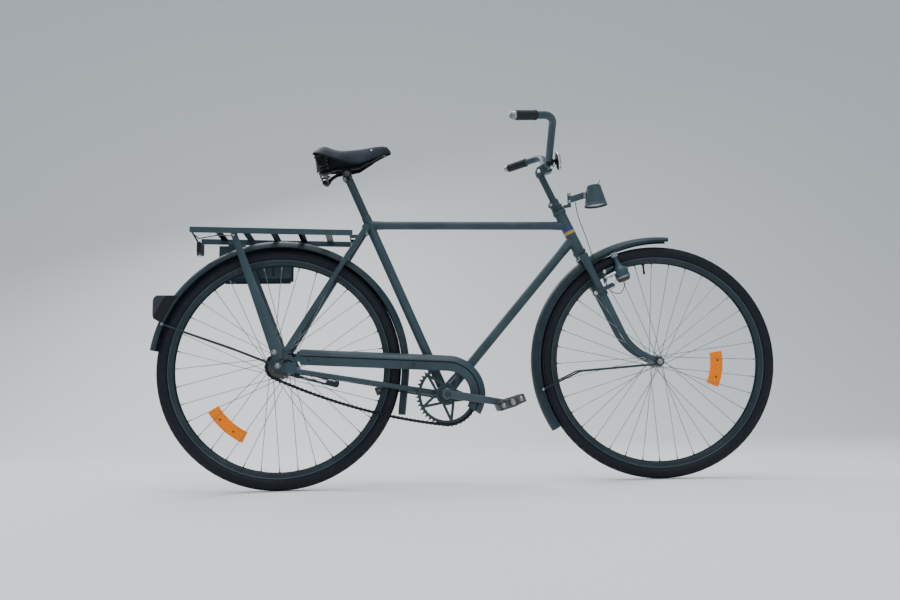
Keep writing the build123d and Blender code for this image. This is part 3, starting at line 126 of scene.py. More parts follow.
class Finish:
    """One material, and the nodes that make it."""

    def __init__(self, name, color, roughness, **constants):
        self.material = bpy.data.materials.new(name)
        self.material.use_nodes = True
        self.tree = self.material.node_tree
        self.tree.nodes.clear()
        self.shader = self.tree.nodes.new("ShaderNodeBsdfPrincipled")
        output = self.tree.nodes.new("ShaderNodeOutputMaterial")
        self.tree.links.new(self.shader.outputs[0], output.inputs[0])
        self.shader.inputs["Base Color"].default_value = (*color, 1)
        self.shader.inputs["Roughness"].default_value = roughness
        for socket, value in constants.items():
            self.shader.inputs[socket.replace("_", " ")].default_value = value

    def plug(self, socket, value):
        if isinstance(value, Wire):
            self.tree.links.new(value.socket, socket)
        elif isinstance(value, (tuple, list)) and socket.type == "RGBA" and len(value) == 3:
            socket.default_value = (*value, 1)
        else:
            socket.default_value = value

    def node(self, kind, settings=None, sockets=None, output=0):
        """Adds a node, fills in its settings and sockets, and gives one output."""
        made = self.tree.nodes.new(kind)
        for name, value in (settings or {}).items():
            setattr(made, name, value)
        for name, value in (sockets or {}).items():
            self.plug(made.inputs[name], value)
        return Wire(self, made.outputs[output])

    def place(self, scale=(1, 1, 1)):
        """Object coordinates, stretched by scale."""
        spot_here = self.node("ShaderNodeTexCoord", output="Object")
        return self.node("ShaderNodeMapping", sockets={"Vector": spot_here, "Scale": scale})

    def noise(self, scale, detail=4, stretch=(1, 1, 1), roughness=0.55):
        sockets = {"Vector": self.place(stretch), "Scale": scale, "Detail": detail}
        sockets["Roughness"] = roughness
        return self.node("ShaderNodeTexNoise", sockets=sockets)

    def cells(self, scale, feature="F1"):
        sockets = {"Vector": self.place(), "Scale": scale}
        return self.node("ShaderNodeTexVoronoi", {"feature": feature}, sockets)

    def ramp(self, value, low, high, first=0.0, last=1.0):
        """Value spread from low..high to first..last, held at the ends."""
        sockets = {"Value": value, "From Min": low, "From Max": high}
        sockets.update({"To Min": first, "To Max": last})
        return self.node("ShaderNodeMapRange", {"clamp": True}, sockets)

    def mix(self, part, first, second):
        settings = {"data_type": "RGBA"}
        return self.node("ShaderNodeMix", settings, {0: part, 6: first, 7: second}, output=2)

    def bump(self, height, strength, distance):
        sockets = {"Height": height, "Strength": strength, "Distance": distance}
        self.set("Normal", self.node("ShaderNodeBump", sockets=sockets))

    def set(self, socket, value):
        self.plug(self.shader.inputs[socket], value)


# %% [markdown]
# Army paint is flat and thick. Road dust greys it in patches, hands and straps
# polish it a little, and small chips show primer. Three noises of different size
# drive that, and a fine one gives the skin its slight orange peel.

# %% Grey-green army paint
PAINT = (0.025, 0.046, 0.058)
PAINT_WORN = (0.038, 0.067, 0.083)
PRIMER = (0.040, 0.026, 0.019)
DUST = (0.070, 0.086, 0.092)


def army_paint(name, tone=1.0, dust=0.35, shine=0.3, matt=0.0):
    finish = Finish(name, PAINT, 0.5, Specular_IOR_Level=shine)
    patches = finish.ramp(finish.noise(9, 5), 0.35, 0.7)
    coat = finish.mix(patches, [c * tone for c in PAINT], [c * tone for c in PAINT_WORN])
    grime = finish.ramp(finish.noise(38, 6, roughness=0.7), 0.5, 0.75, 0, dust)
    coat = finish.mix(grime, coat, DUST)
    chips = finish.ramp(finish.noise(160, 3), 0.715, 0.735)
    finish.set("Base Color", finish.mix(chips, coat, PRIMER))
    finish.set("Roughness", finish.ramp(patches, 0, 1, 0.48 + matt, 0.36 + matt) + grime * 0.35)
    finish.bump(finish.noise(900, 2) * 0.4 - chips, 0.25, 0.0006)
    return finish.material


paint = army_paint("army_paint")
paint_dark = army_paint("paint_dark", 0.75, 0.2)
guard_paint = army_paint("guard_paint", 0.62, 0.35, 0.2)
rim_paint = army_paint("rim_paint", 0.4, 0.3)
# The rims' hooked edges get a lighter copy as a painted highlight, and their inner faces the darker
# matt copy below as painted shade.
rim_painted_highlight = army_paint("rim_painted_highlight", 1.3, 0.3)
shade_paint = army_paint("shade_paint", 0.45, 0.1, 0.0, 0.4)
crank_paint = army_paint("crank_paint", 1.0, 0.15, 0.6, -0.14)
lamp_paint = army_paint("lamp_paint", 1.15, 0.25)
print(len(bpy.data.materials), "paint finishes")

# %% [markdown]
# Bare metal parts differ mostly in colour and polish: oily steel on the chain, worn
# steel on the nuts and hubs, and chrome on the bell. Black enamel follows the same
# recipe, and its socket says 0 to a reader that skips the nodes.

# %% Metals


def metal(name, color, roughness, smear, grime_color, grime_part, scale=60):
    finish = Finish(name, color, roughness, Metallic=1.0)
    haze = finish.noise(scale, 5)
    grime = finish.ramp(haze, 0.5, 0.72, 0, grime_part)
    finish.set("Base Color", finish.mix(grime, color, grime_color))
    finish.set("Metallic", 1 - grime * 0.8)
    gloss = finish.ramp(haze, 0.3, 0.7, roughness, roughness + smear)
    finish.set("Roughness", gloss + grime * 0.3)
    finish.bump(finish.noise(700, 2), 0.08, 0.0004)
    return finish.material


steel = metal("worn_steel", (0.30, 0.31, 0.32), 0.3, 0.18, (0.05, 0.045, 0.04), 0.7)
spoke_steel = metal("spoke_steel", (0.24, 0.26, 0.27), 0.34, 0.2, (0.06, 0.055, 0.05), 0.6, 25)
dark_steel = metal("oily_steel", (0.085, 0.088, 0.09), 0.34, 0.2, (0.018, 0.016, 0.014), 0.8)
chrome = metal("old_chrome", (0.55, 0.57, 0.60), 0.14, 0.1, (0.16, 0.15, 0.13), 0.35)
black_metal = metal("black_enamel", (0.012, 0.014, 0.016), 0.36, 0.2, (0.035, 0.034, 0.032), 0.5)
black_metal.node_tree.nodes["Principled BSDF"].inputs["Metallic"].default_value = 0.0
print(len(bpy.data.materials), "finishes with the metals")

# %% [markdown]
# Rubber and plastics are plain colours with a grain of their own: dusty tyres, matt
# grips, and a reflector and a lens whose moulded prisms show as small cells.

# %% Rubber, plastic and glass


def rubber(name, color, dust_part):
    finish = Finish(name, color, 0.6, Specular_IOR_Level=0.22)
    dust = finish.ramp(finish.noise(85, 7, roughness=0.7), 0.45, 0.8, 0, dust_part)
    finish.set("Base Color", finish.mix(dust, color, (0.045, 0.052, 0.060)))
    finish.set("Roughness", 0.52 + dust * 0.5)
    finish.bump(finish.noise(1200, 2), 0.2, 0.0004)
    return finish.material


tyre_rubber = rubber("tyre_rubber", (0.005, 0.007, 0.012), 0.2)
grip_rubber = rubber("grip_rubber", (0.014, 0.017, 0.020), 0.12)
black_plastic = rubber("black_plastic", (0.010, 0.011, 0.013), 0.12)
pale_plastic = rubber("pale_plastic", (0.22, 0.26, 0.29), 0.35)
brown_cap = rubber("brown_cap", (0.060, 0.046, 0.034), 0.3)


def prismatic(name, color, roughness, scale, tops, gaps, height, **constants):
    finish = Finish(name, color, roughness, **constants)
    prisms = finish.cells(scale)
    finish.set("Base Color", finish.mix(finish.ramp(prisms, 0.1, 0.7), tops, gaps))
    finish.bump(prisms, height, 0.001)
    return finish.material


DULL = {"Specular_IOR_Level": 0.12}
# The reflectors' faint orange glow is painted light: a reflector is no lamp.
PAINTED_GLOW = {"Emission_Color": (1.0, 0.30, 0.0, 1), "Emission_Strength": 0.42}
COAT = {"Coat_Weight": 0.4, "Coat_Roughness": 0.12, "Specular_IOR_Level": 0.3}
AMBER = ((0.70, 0.15, 0.0), (0.42, 0.06, 0.0))
# Between its prisms the red lens is blue-grey: a painted reflection.
RED_AND_PAINTED_REFLECTION = ((0.040, 0.014, 0.018), (0.017, 0.032, 0.046))
amber = prismatic("amber_prisms", (0.6, 0.1, 0.0), 0.45, 260, *AMBER, 0.35, **DULL, **PAINTED_GLOW)
red_lens = prismatic("red_lens", (0.03, 0.009, 0.011), 0.22, 300, *RED_AND_PAINTED_REFLECTION, 0.4, **COAT)

glass = Finish("clear_lens", (0.40, 0.45, 0.46), 0.12, Transmission_Weight=0.9, IOR=1.45)
glass.bump(glass.noise(90, 2), 0.1, 0.001)
clear_lens = glass.material
print(len(bpy.data.materials), "finishes with rubber, plastic and glass")

# %% [markdown]
# The saddle is thick black leather. Its grain is a cell pattern, creases run across
# where it flexes, and the parts that trousers rub are smoother, with a lighter blue
# there as painted sheen.

# %% Saddle leather
hide = Finish("saddle_leather", (0.02, 0.02, 0.024), 0.4, **DULL)
grain = hide.cells(420, "DISTANCE_TO_EDGE")
rubbed_and_sheen = hide.ramp(hide.noise(14, 4), 0.4, 0.7)
# The rubbed patches are lighter and bluer as painted sheen, and smoother as wear.
hide.set("Base Color", hide.mix(rubbed_and_sheen, (0.006, 0.010, 0.017), (0.012, 0.022, 0.040)))
hide.set("Roughness", hide.ramp(rubbed_and_sheen, 0, 1, 0.52, 0.42))
hide.bump(hide.ramp(grain, 0, 0.12) + hide.noise(60, 4, (1, 3, 1)), 0.35, 0.0008)
leather = hide.material
print(leather.name, "has", len(hide.tree.nodes), "nodes")

# %% [markdown]
# Every part of the engineering model now gets its own finish, from a short list of
# which parts share a finish.

# %% Finishes for the CAD parts
FINISHES = (
    (paint, "bottom_bracket seat_tube top_tube down_tube head_tube chain_stays seat_stays"),
    (paint, "rack_platform rack_struts toolbox toolbox_lid chain_guard handlebar headlamp"),
    (paint, "fork_crown fork_blades lamp_bracket dynamo"),
    (paint_dark, "seat_post brake_arm crank_right crank_left stem"),
    (guard_paint, "rear_mudguard front_mudguard rear_guard_stays front_guard_stays"),
    (rim_paint, "rear_rim front_rim"),
    (steel, "rear_axle front_axle headset rear_hub front_hub"),
    (steel, "pedal_right pedal_left dynamo_bracket"),
    (spoke_steel, "rear_spokes front_spokes"),
    (dark_steel, "chain chainring sprocket"),
    (chrome, "bell"),
    (black_metal, "saddle_frame"),
    (leather, "saddle_cover"),
    (grip_rubber, "grips pedal_blocks_right pedal_blocks_left lamp_wire"),
    (tyre_rubber, "rear_tyre front_tyre"),
    (amber, "rear_reflector front_reflector"),
    (red_lens, "rear_lamp_lens"),
    (clear_lens, "headlamp_lens"),
    (black_plastic, "rear_lamp_base rack_reflector"),
)
bare = set(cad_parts)
for material, names in FINISHES:
    for name in names.split():
        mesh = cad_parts[name].data
        mesh.materials.clear()
        mesh.materials.append(material)
        bare.discard(name)
print("parts without a finish:", sorted(bare))

# %% [markdown]
# New pieces are small bmesh shapes. Each is made at the origin or on the side drawing
# in millimetres, carried to its place by one matrix, and collected into a piece that
# rides on a body. A lathe shape starts as a profile that is spun about its own axis.

# %% Mesh helpers


def lathe(profile, steps=48, closed=False):
    """Spins a profile of (radius, height) about the Z axis."""
    shape = bmesh.new()
    points = [shape.verts.new((radius, 0, height)) for radius, height in profile]
    lines = [shape.edges.new(pair) for pair in zip(points, points[1:])]
    if closed:
        lines.append(shape.edges.new((points[-1], points[0])))
    about = {"cent": (0, 0, 0), "axis": (0, 0, 1), "angle": 2 * pi}
    bmesh.ops.spin(shape, geom=points + lines, steps=steps, use_merge=True, **about)
    bmesh.ops.remove_doubles(shape, verts=shape.verts, dist=1e-4)
    bmesh.ops.recalc_face_normals(shape, faces=shape.faces)
    return shape


def upright(start, finish):
    """Carries a shape that stands on Z from the origin to start, pointing at finish."""
    direction = Vector(finish) - Vector(start)
    return Matrix.Translation(start) @ direction.to_track_quat("Z", "Y").to_matrix().to_4x4()


def collect(piece, shape, matrix=Matrix.Identity(4), material=0):
    """Moves a small shape to its place and adds it to a larger piece."""
    for face in shape.faces:
        face.material_index = material
    shape.transform(matrix)
    scrap = bpy.data.meshes.new("scrap")
    shape.to_mesh(scrap)
    shape.free()
    piece.from_mesh(scrap)
    bpy.data.meshes.remove(scrap)


def rod(piece, start, finish, radius, end_radius=None, sides=12, material=0):
    """Adds a round rod or taper between two points."""
    length = (Vector(finish) - Vector(start)).length
    end_radius = radius if end_radius is None else end_radius
    shape = lathe([(0, 0), (radius, 0), (end_radius, length), (0, length)], sides)
    collect(piece, shape, upright(start, finish), material)


def stud(piece, start, out, radius, end_radius, sides, material=1):
    """Adds a short rod straight out from start, and gives back its far end."""
    end = Vector(start) + Vector((0, 0, out))
    rod(piece, start, end, radius, end_radius, sides, material)
    return end


def wire(piece, points, radius, material=0):
    """Adds a round wire that bends at each of its points."""
    for start, finish in zip(points, points[1:]):
        rod(piece, start, finish, radius, radius, 10, material)


def torus(radius, thick, steps):
    """A ring of round wire that lies flat about the Z axis."""
    section = [(radius + thick * cos(a * pi / 4), thick * sin(a * pi / 4)) for a in range(8)]
    return lathe(section, steps, closed=True)


def bolt(piece, start, direction, radius, height, material=0, sides=6):
    """Adds a bolt head or nut with a chamfered top, standing on start."""
    head = [(0, 0), (radius, 0), (radius, height * 0.75), (radius * 0.8, height), (0, height)]
    collect(piece, lathe(head, sides), upright(start, Vector(start) + Vector(direction)), material)


# %% [markdown]
# Each piece ends in the same way. Its view's matrix carries it into the scene, it gets
# its finishes and its sharp edges, and it is tied to the body that moves it, in place
# of the plain parts that it redraws.

# %% A finished piece on its body


def dress(name, piece, body, materials, view=SIDE, replaces=(), sharp=35):
    """Turns a bmesh drawn in millimetres into an object that rides on a body."""
    piece.transform(view)
    data = bpy.data.meshes.new(name)
    piece.to_mesh(data)
    piece.free()
    for material in materials:
        data.materials.append(material)
    data.shade_smooth()
    data.set_sharp_from_angle(angle=radians(sharp))
    made = bpy.data.objects.new(name, data)
    bpy.context.scene.collection.objects.link(made)
    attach(made, body)
    if replaces:
        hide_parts(*replaces)
    print(name, len(data.polygons), "faces")
    return made


# %% [markdown]
# Tyres: a real tyre bulges past the rim and meets it in a narrow bead. The tread here
# is a file tread, ribs that run round the tyre, with small blocks on the shoulders.
# A section is spun round the axle, then every other shoulder face is sunk.

# %% Tyres
TYRE_HALF = (
    (355.5, 0), (355.4, 1.8), (354.1, 2.3), (354, 3.2), (355.1, 3.7), (354.5, 6.4), (353, 6.9),
    (352.8, 7.8), (353.7, 8.3), (352.1, 11.6), (350.4, 14.2), (348.3, 16), (347.1, 15.9),
    (344, 17.9), (340, 19.6), (335.5, 20.3), (331, 19.9), (327, 17.9), (323.9, 14.9),
    (322.3, 12.6), (318.5, 10.8),
)
WHEELS = (("rear", SIDE), ("front", FRONT))
TREAD_STEPS = 168
BLOCKS_FROM = 348.5


def mirrored(half):
    """A whole section from one side of it, which starts in the middle."""
    return [(radius, -out) for radius, out in reversed(half[1:])] + list(half)


for name, view in WHEELS:
    tyre = lathe(mirrored(TYRE_HALF), TREAD_STEPS, closed=True)
    sunk = []
    for face in tyre.faces:
        middle = face.calc_center_median()
        on_shoulder = 9 < abs(middle.z) < 15 and face.normal.xy.length > 0.5
        if not on_shoulder or middle.xy.length < BLOCKS_FROM:
            continue
        step = round(degrees(atan2(middle.y, middle.x)) / 360 * TREAD_STEPS - 0.5)
        if step % 2 == (1 if middle.z > 0 else 0):
            sunk.append(face)
    bmesh.ops.inset_individual(tyre, faces=sunk, thickness=0.5, depth=-1.1)
    dress(f"{name}_tyre_tread", tyre, f"{name}_wheel", [tyre_rubber], view, [f"{name}_tyre"], 50)

# %% [markdown]
# Rims: rolled steel with a hooked edge for the bead, a rounded shoulder and a shallow
# well. A nipple holds each spoke, and the valve stands in one hole of its own.

# %% Rims and nipples
RIM_SECTION = (
    (320.6, 12.3), (321.7, 13), (322, 14), (321.4, 14.8), (320.2, 14.8), (319.2, 13.8),
    (317.6, 12.8), (311.5, 12.6), (307.6, 12), (305.2, 10), (304, 7), (303.6, 3.5), (303.5, 0),
)
# From, to, both radii and sides of the valve's stem, cap and nut
VALVE = ((304, 278, 3, 3, 12), (281, 272, 3.9, 3.2, 12), (304, 300, 5.5, 5, 6))
VALVE_ANGLE = 95
RIM_FLOOR = 303.5
HOOK_FROM = 319
WELL_UNDER = 305.5
SPOKE_PAIRS = 9
SPOKE_GAP = 360 / SPOKE_PAIRS
NIPPLE = 12
HUBS = {
    "rear": {"flange": 33, "right": 24, "left": -29},
    "front": {"flange": 19, "right": 27, "left": -27},
}


def spoke_ends(hub):
    """Hub hole and rim hole of each spoke, crossing others on the way, and its lean."""
    radius = hub["flange"] - 3
    for side, flange_out in ((1, hub["right"]), (-1, hub["left"])):
        for pair in range(SPOKE_PAIRS):
            for lead in (1, -1):
                shift = (SPOKE_GAP / 2 if lead < 0 else 0) + (SPOKE_GAP / 4 if side < 0 else 0)
                hole = radians(pair * SPOKE_GAP + shift)
                rim_hole = hole + lead * radians(60)
                inner = Vector((radius * cos(hole), radius * sin(hole), flange_out + lead * 2.4))
                outer = Vector((RIM_FLOOR * cos(rim_hole), RIM_FLOOR * sin(rim_hole), side * 2))
                yield inner, outer, side * lead


def rim_finish(radius):
    """The hooked edge gets a lighter paint as a painted highlight, and the face towards the hub a
    darker, matt paint as painted shade.
    """
    return 3 if radius > HOOK_FROM else 4 if radius < WELL_UNDER else 0


for name, view in WHEELS:
    outline = list(RIM_SECTION) + [(r, -out) for r, out in reversed(RIM_SECTION[:-1])]
    inside = [(r + 1.6, out * 0.86) for r, out in reversed(outline)]
    rim = lathe(outline + inside[1:-1], 144, closed=True)
    for face in rim.faces:
        face.material_index = rim_finish(face.calc_center_median().xy.length)
    for inner, outer, lean in spoke_ends(HUBS[name]):
        inward = (inner - outer).normalized()
        rod(rim, outer - inward * 2, outer + inward * NIPPLE, 2.0, 1.7, 8, 1)
        rod(rim, outer + inward * 0.2, outer + inward * 1.4, 3.4, 2.6, 10, 0)
    hole = Vector((cos(radians(VALVE_ANGLE)), sin(radians(VALVE_ANGLE)), 0))
    for start, finish, wide, narrow, sides in VALVE:
        rod(rim, hole * start, hole * finish, wide, narrow, sides, 2)
    finishes = [rim_paint, steel, black_plastic, rim_painted_highlight, shade_paint]
    dress(f"{name}_rim_rolled", rim, f"{name}_wheel", finishes, view, [f"{name}_rim"])

# %% [markdown]
# Spokes: two-millimetre wire with an elbow in the hub flange. Half of them leave on
# the flange's outside and half on its inside, which is how they cross.

# %% Spokes
for name, view in WHEELS:
    spokes = bmesh.new()
    for inner, outer, lean in spoke_ends(HUBS[name]):
        inward = (inner - outer).normalized()
        rod(spokes, inner, outer + inward * (NIPPLE - 1), 1.0, 1.0, 7)
        across = Vector((0, 0, 1 if inner.z > 0 else -1)) * lean
        rod(spokes, inner, inner - across * 5.2, 1.0, 1.0, 7)
        rod(spokes, inner - across * 5.2, inner - across * 6, 1.9, 1.2, 8)
    dress(f"{name}_spokes_laced", spokes, f"{name}_wheel", [spoke_steel], view, [f"{name}_spokes"])

# %% [markdown]
# Hubs: the front one is a slim barrel with drilled flanges. The rear one holds the
# back-pedal brake, so its barrel is as fat as a drinks can, with dust caps each end.

# %% Hubs
HUB_SECTIONS = {
    "front": (
        (5.6, 37.8), (8.5, 37.8), (9.6, 36.5), (9.6, 29.5), (19, 28.5), (19, 25.5), (11.6, 25.2),
        (10, 20), (9.4, 6), (10.6, 4), (10.6, -4), (9.4, -6), (10, -20), (11.6, -25.2),
        (19, -25.5), (19, -28.5), (9.6, -29.5), (9.6, -36.5), (8.5, -37.8), (5.6, -37.8),
    ),
    "rear": (
        (5.6, 35.8), (17, 35.8), (19, 34), (19, 26), (33, 25.5), (33, 22.5), (23, 22.2),
        (20.6, 17), (20, 10), (20, -14), (21, -22), (24, -27.2), (33, -27.5), (33, -30.5),
        (23, -31), (23, -41.5), (21.5, -43.8), (12, -43.8), (5.6, -43.8),
    ),
}
for name, view in WHEELS:
    hub = lathe(HUB_SECTIONS[name], 48, closed=True)
    for inner, outer, lean in spoke_ends(HUBS[name]):
        flange_out = HUBS[name]["right" if inner.z > 0 else "left"]
        stud(hub, (inner.x, inner.y, flange_out - 1.75), 3.5, 1.5, 1.5, 8)
    dress(f"{name}_hub_turned", hub, f"{name}_wheel", [steel, dark_steel], view, [f"{name}_hub"])

# %% [markdown]
# Several parts of the engineering model have the right shape but dead sharp edges,
# which catch no light. A copy is merged, its flat faces are joined, and a small bevel
# on the edges gives them the soft corner that pressing and filing leave.

# %% Helpers for plates and softened copies


def soften(shape, width, angle=40, segments=2, reach=None):
    """Rounds edges sharper than angle. With a reach, only raised ones less far out."""
    shape.normal_update()
    folds = [e for e in shape.edges if len(e.link_faces) == 2]
    sharp = [e for e in folds if e.calc_face_angle() > radians(angle)]
    if reach:
        sharp = [e for e in sharp if e.is_convex and max(abs(v.co.z) for v in e.verts) < reach]
    settings = {"affect": "EDGES", "profile": 0.5, "material": -1, "clamp_overlap": True}
    bmesh.ops.bevel(shape, geom=sharp, offset=width, segments=segments, **settings)


def pull(shape, faces, height):
    """Extrudes flat faces into a plate of some height."""
    made = bmesh.ops.extrude_face_region(shape, geom=faces)["geom"]
    lifted = [part for part in made if isinstance(part, bmesh.types.BMVert)]
    bmesh.ops.translate(shape, verts=lifted, vec=(0, 0, height))


def slab(outline, low, high, edge=0.0):
    """A flat plate: an outline of (x, up) points, from low to high across the bicycle."""
    shape = bmesh.new()
    face = shape.faces.new([shape.verts.new((x, up, low)) for x, up in outline])
    pull(shape, [face], high - low)
    bmesh.ops.recalc_face_normals(shape, faces=shape.faces)
    if edge:
        soften(shape, edge)
    return shape


def cad_copy(node, view=SIDE, edge=0.0, angle=40, segments=2):
    """A merged copy of a CAD part, back on its drawing in millimetres."""
    shape = bmesh.new()
    shape.from_mesh(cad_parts[node].data)
    bmesh.ops.remove_doubles(shape, verts=shape.verts, dist=2e-6)
    bmesh.ops.dissolve_limit(shape, angle_limit=radians(0.6), verts=shape.verts, edges=shape.edges)
    shape.transform(view.inverted())
    if edge:
        soften(shape, edge, angle, segments)
    return shape


def polar(radius, angle, out=0):
    """A point on a circle about the origin, with the angle in degrees."""
    return Vector((radius * cos(radians(angle)), radius * sin(radians(angle)), out))


# %% [markdown]
# The chain has 110 half-inch links. Where it wraps a toothed wheel, each pin sits in
# the gap between two teeth; the tight upper run and the sagging lower run are filled
# evenly.

# %% Path of the chain
PITCH = 12.7
BRACKET = Vector((487, -89.5, 0))
CHAIN_OUT = 44
RING_TEETH = 44
SPROCKET_TEETH = 18
RING_PITCH = PITCH / 2 / sin(pi / RING_TEETH)
SPROCKET_PITCH = PITCH / 2 / sin(pi / SPROCKET_TEETH)
LOWER_SAG = 21.6
ring_pins = [BRACKET + polar(RING_PITCH, tooth * 360 / RING_TEETH) for tooth in range(10, -12, -1)]
sprocket_pins = [polar(SPROCKET_PITCH, tooth * 360 / SPROCKET_TEETH) for tooth in range(12, 4, -1)]


def run_of_pins(start, finish, sag):
    """Pins between two wheels, evenly spread over a shallow arc."""
    links = round((finish - start).length / PITCH + 0.12)
    for link in range(1, links):
        part = link / links
        yield start.lerp(finish, part) - Vector((0, 4 * sag * part * (1 - part), 0))


pins = ring_pins + list(run_of_pins(ring_pins[-1], sprocket_pins[0], LOWER_SAG))
pins += sprocket_pins + list(run_of_pins(sprocket_pins[-1], ring_pins[0], 0.8))
print(len(pins), "links")

# %% [markdown]
# A link plate starts as a circle whose halves are pulled apart at a waist. Inner and
# outer plates take turns along the chain, with a roller on a pin at each joint.

# %% Chain
PLATE = 1.0


def link_plate(high, waist, low):
    """A plate as long as one link, round at both ends, standing on low."""
    shape = bmesh.new()
    bmesh.ops.create_circle(shape, cap_ends=True, segments=16, radius=high)
    for vertex in shape.verts:
        if abs(vertex.co.x) < 0.1:
            vertex.co.y *= waist / high
        else:
            vertex.co.x += PITCH / 2 if vertex.co.x > 0 else -PITCH / 2
    pull(shape, shape.faces[:], PLATE)
    bmesh.ops.translate(shape, verts=shape.verts, vec=(0, 0, low))
    bmesh.ops.recalc_face_normals(shape, faces=shape.faces)
    return shape


ROLLER = ((1.9, -1.5), (4.0, -1.5), (4.0, 1.5), (1.9, 1.5))
PIN = ((0, -3.9), (1.7, -3.9), (1.7, 3.9), (0, 3.9))
chain = bmesh.new()
for number, pin in enumerate(pins):
    following = pins[(number + 1) % len(pins)]
    run = following - pin
    seat = Matrix.Translation(pin.lerp(following, 0.5) + Vector((0, 0, CHAIN_OUT)))
    seat = seat @ Matrix.Rotation(atan2(run.y, run.x), 4, "Z")
    inner = 1.65 if number % 2 else 2.8
    for low in (inner, -inner - PLATE):
        collect(chain, link_plate(5.5, 3.2, low), seat, 0)
    at_pin = Matrix.Translation(pin + Vector((0, 0, CHAIN_OUT)))
    collect(chain, lathe(ROLLER, 12, closed=True), at_pin, 1)
    collect(chain, lathe(PIN, 8), at_pin, 1)
dress("chain_links", chain, "root", [black_metal, dark_steel], SIDE, ["chain"], 50)

# %% [markdown]
# The toothed ring is stamped from plate: its teeth and arms get a fine chamfer, and
# five rivets hold it to the crank's boss. The sprocket behind it is treated alike.

# %% Toothed wheels
CRANK_DROP = 9.6
RIVET_CIRCLE = 18
RIVET_HEAD = ((0, 2.2), (2.2, 1.9), (3.6, 0.9), (3.9, 0))
ring = cad_copy("chainring", SIDE, 0.45, 25, 1)
for arm in range(5):
    hole = BRACKET + polar(RIVET_CIRCLE, arm * 72 + 36 - CRANK_DROP, 45.4)
    collect(ring, lathe(RIVET_HEAD, 12), Matrix.Translation(hole), 1)
dress("chainring_stamped", ring, "crank", [paint_dark, paint], SIDE, ["chainring"])
cog = cad_copy("sprocket", SIDE, 0.4, 25, 1)
dress("sprocket_stamped", cog, "sprocket", [dark_steel], SIDE, ["sprocket"])

# %% [markdown]
# The cranks are forgings with generous round edges. Each is locked to the axle by a
# cotter pin, driven in across the boss and drawn up by a nut.

# %% Cranks
CRANK_LENGTH = 175
CRANK_INNER = 59.5
CRANK_THICK = 13
along = polar(1, -CRANK_DROP)
crosswise = polar(1, 90 - CRANK_DROP)
for name, side, lead in (("right", 1, 1), ("left", -1, -1)):
    arm = cad_copy(f"crank_{name}")
    soften(arm, 2.6, 40, 3, CRANK_INNER + CRANK_THICK + 1)
    middle = BRACKET + along * lead * 9.5
    middle.z = side * (CRANK_INNER + CRANK_THICK / 2)
    rod(arm, middle - crosswise * 20, middle + crosswise * 21, 4.3, 4.6, 16, 1)
    bolt(arm, middle - crosswise * 15, -crosswise, 6.6, 5, 1)
    rod(arm, middle - crosswise * 14.5, middle - crosswise * 16, 7.4, 7.4, 20, 1)
    end = BRACKET + Vector((0, 0, side * (CRANK_INNER + CRANK_THICK)))
    stud(arm, end, side * 1.5, 7.6, 6.6, 24)
    dress(f"crank_{name}_forged", arm, "crank", [crank_paint, paint_dark], SIDE, [f"crank_{name}"])

# %% [markdown]
# A pedal has two rubber blocks between steel end plates. Long bolts hold the blocks,
# their domed nuts shine at the outer plate, and a cap closes the bearing. The rubber
# has grip ribs along its upper and lower faces.

# %% Pedals
PEDAL_IN = 77.5
PEDAL_OUT = PEDAL_IN + 96
PEDAL_TILT = 20
BLOCK_REACH = 26
RIBS = 5
OUTER_NUT = ((7, 0), (7, 1.2), (5, 1.4), (4.6, 3.4), (2.8, 4.9), (0, 5.4))
INNER_HEAD = ((4, 0), (3.6, 1.4), (2, 2.1), (0, 2.3))
BEARING_CAP = ((8.2, -0.3), (7.6, 1.2), (4, 2.2), (0, 2.6))
# Face, direction, profile and sides of both ends of a block's bolt
BOLT_ENDS = ((PEDAL_OUT, 1, OUTER_NUT, 20), (PEDAL_IN, -1, INNER_HEAD, 16))


def block_outline():
    """A rubber block seen from its end: soft corners, ribs above and below."""
    edge = []
    for rib in range(RIBS):
        middle = 9.2 - rib * 18.4 / (RIBS - 1)
        for step, high in ((1.9, 10.9), (1.1, 12), (-1.1, 12), (-1.9, 10.9)):
            edge.append((middle + step, high))
    upper = [(12, 8), (11.6, 10)] + edge + [(-11.6, 10), (-12, 8)]
    return upper + [(-x, -up) for x, up in upper]


fore = polar(BLOCK_REACH, PEDAL_TILT)
for name, side, lead in (("right", 1, 1), ("left", -1, -1)):
    eye = BRACKET + along * lead * CRANK_LENGTH
    cage = cad_copy(f"pedal_{name}", SIDE, 0.7)
    for reach in (1, -1):
        for face, way, profile, steps in BOLT_ENDS:
            middle = eye + fore * reach + Vector((0, 0, side * face))
            dome = lathe(profile, steps)
            collect(cage, dome, upright(middle, middle + Vector((0, 0, side * way))), 1)
    tip = eye + Vector((0, 0, side * (PEDAL_OUT + 6)))
    collect(cage, lathe(BEARING_CAP, 24), upright(tip, tip + Vector((0, 0, side))), 1)
    dress(f"pedal_{name}_cage", cage, f"pedal_{name}", [dark_steel, steel], SIDE, [f"pedal_{name}"])
    blocks = bmesh.new()
    low, high = sorted((side * (PEDAL_IN + 2.5), side * (PEDAL_OUT - 2.5)))
    for reach in (1, -1):
        seat = Matrix.Translation(eye + fore * reach) @ Matrix.Rotation(radians(PEDAL_TILT), 4, "Z")
        collect(blocks, slab(block_outline(), low, high, 0.5), seat)
    replaced = [f"pedal_blocks_{name}"]
    dress(f"pedal_{name}_rubber", blocks, f"pedal_{name}", [grip_rubber], SIDE, replaced)

# %% [markdown]
# The saddle is one thick piece of leather, pressed wet over a form. A grid is bent
# over a few arched sections: high at the tail, dipped where the rider sits, narrow
# and high again at the nose. It is then thickened, and its cut edge is rounded.

# %% Saddle leather top
SADDLE_ROUND = 2.2
# Columns: x, crown height, edge height, half width at the edge
SADDLE_SECTIONS = (
    (332, 666, 661, 8),
    (308, 685, 652, 17),
    (226, 672.5, 614, 41),
    (170, 666.5, 618, 72),
    (124, 676.5, 625, 95),
    (100, 659.5, 631, 91),
    (97, 643, 624, 88),
)


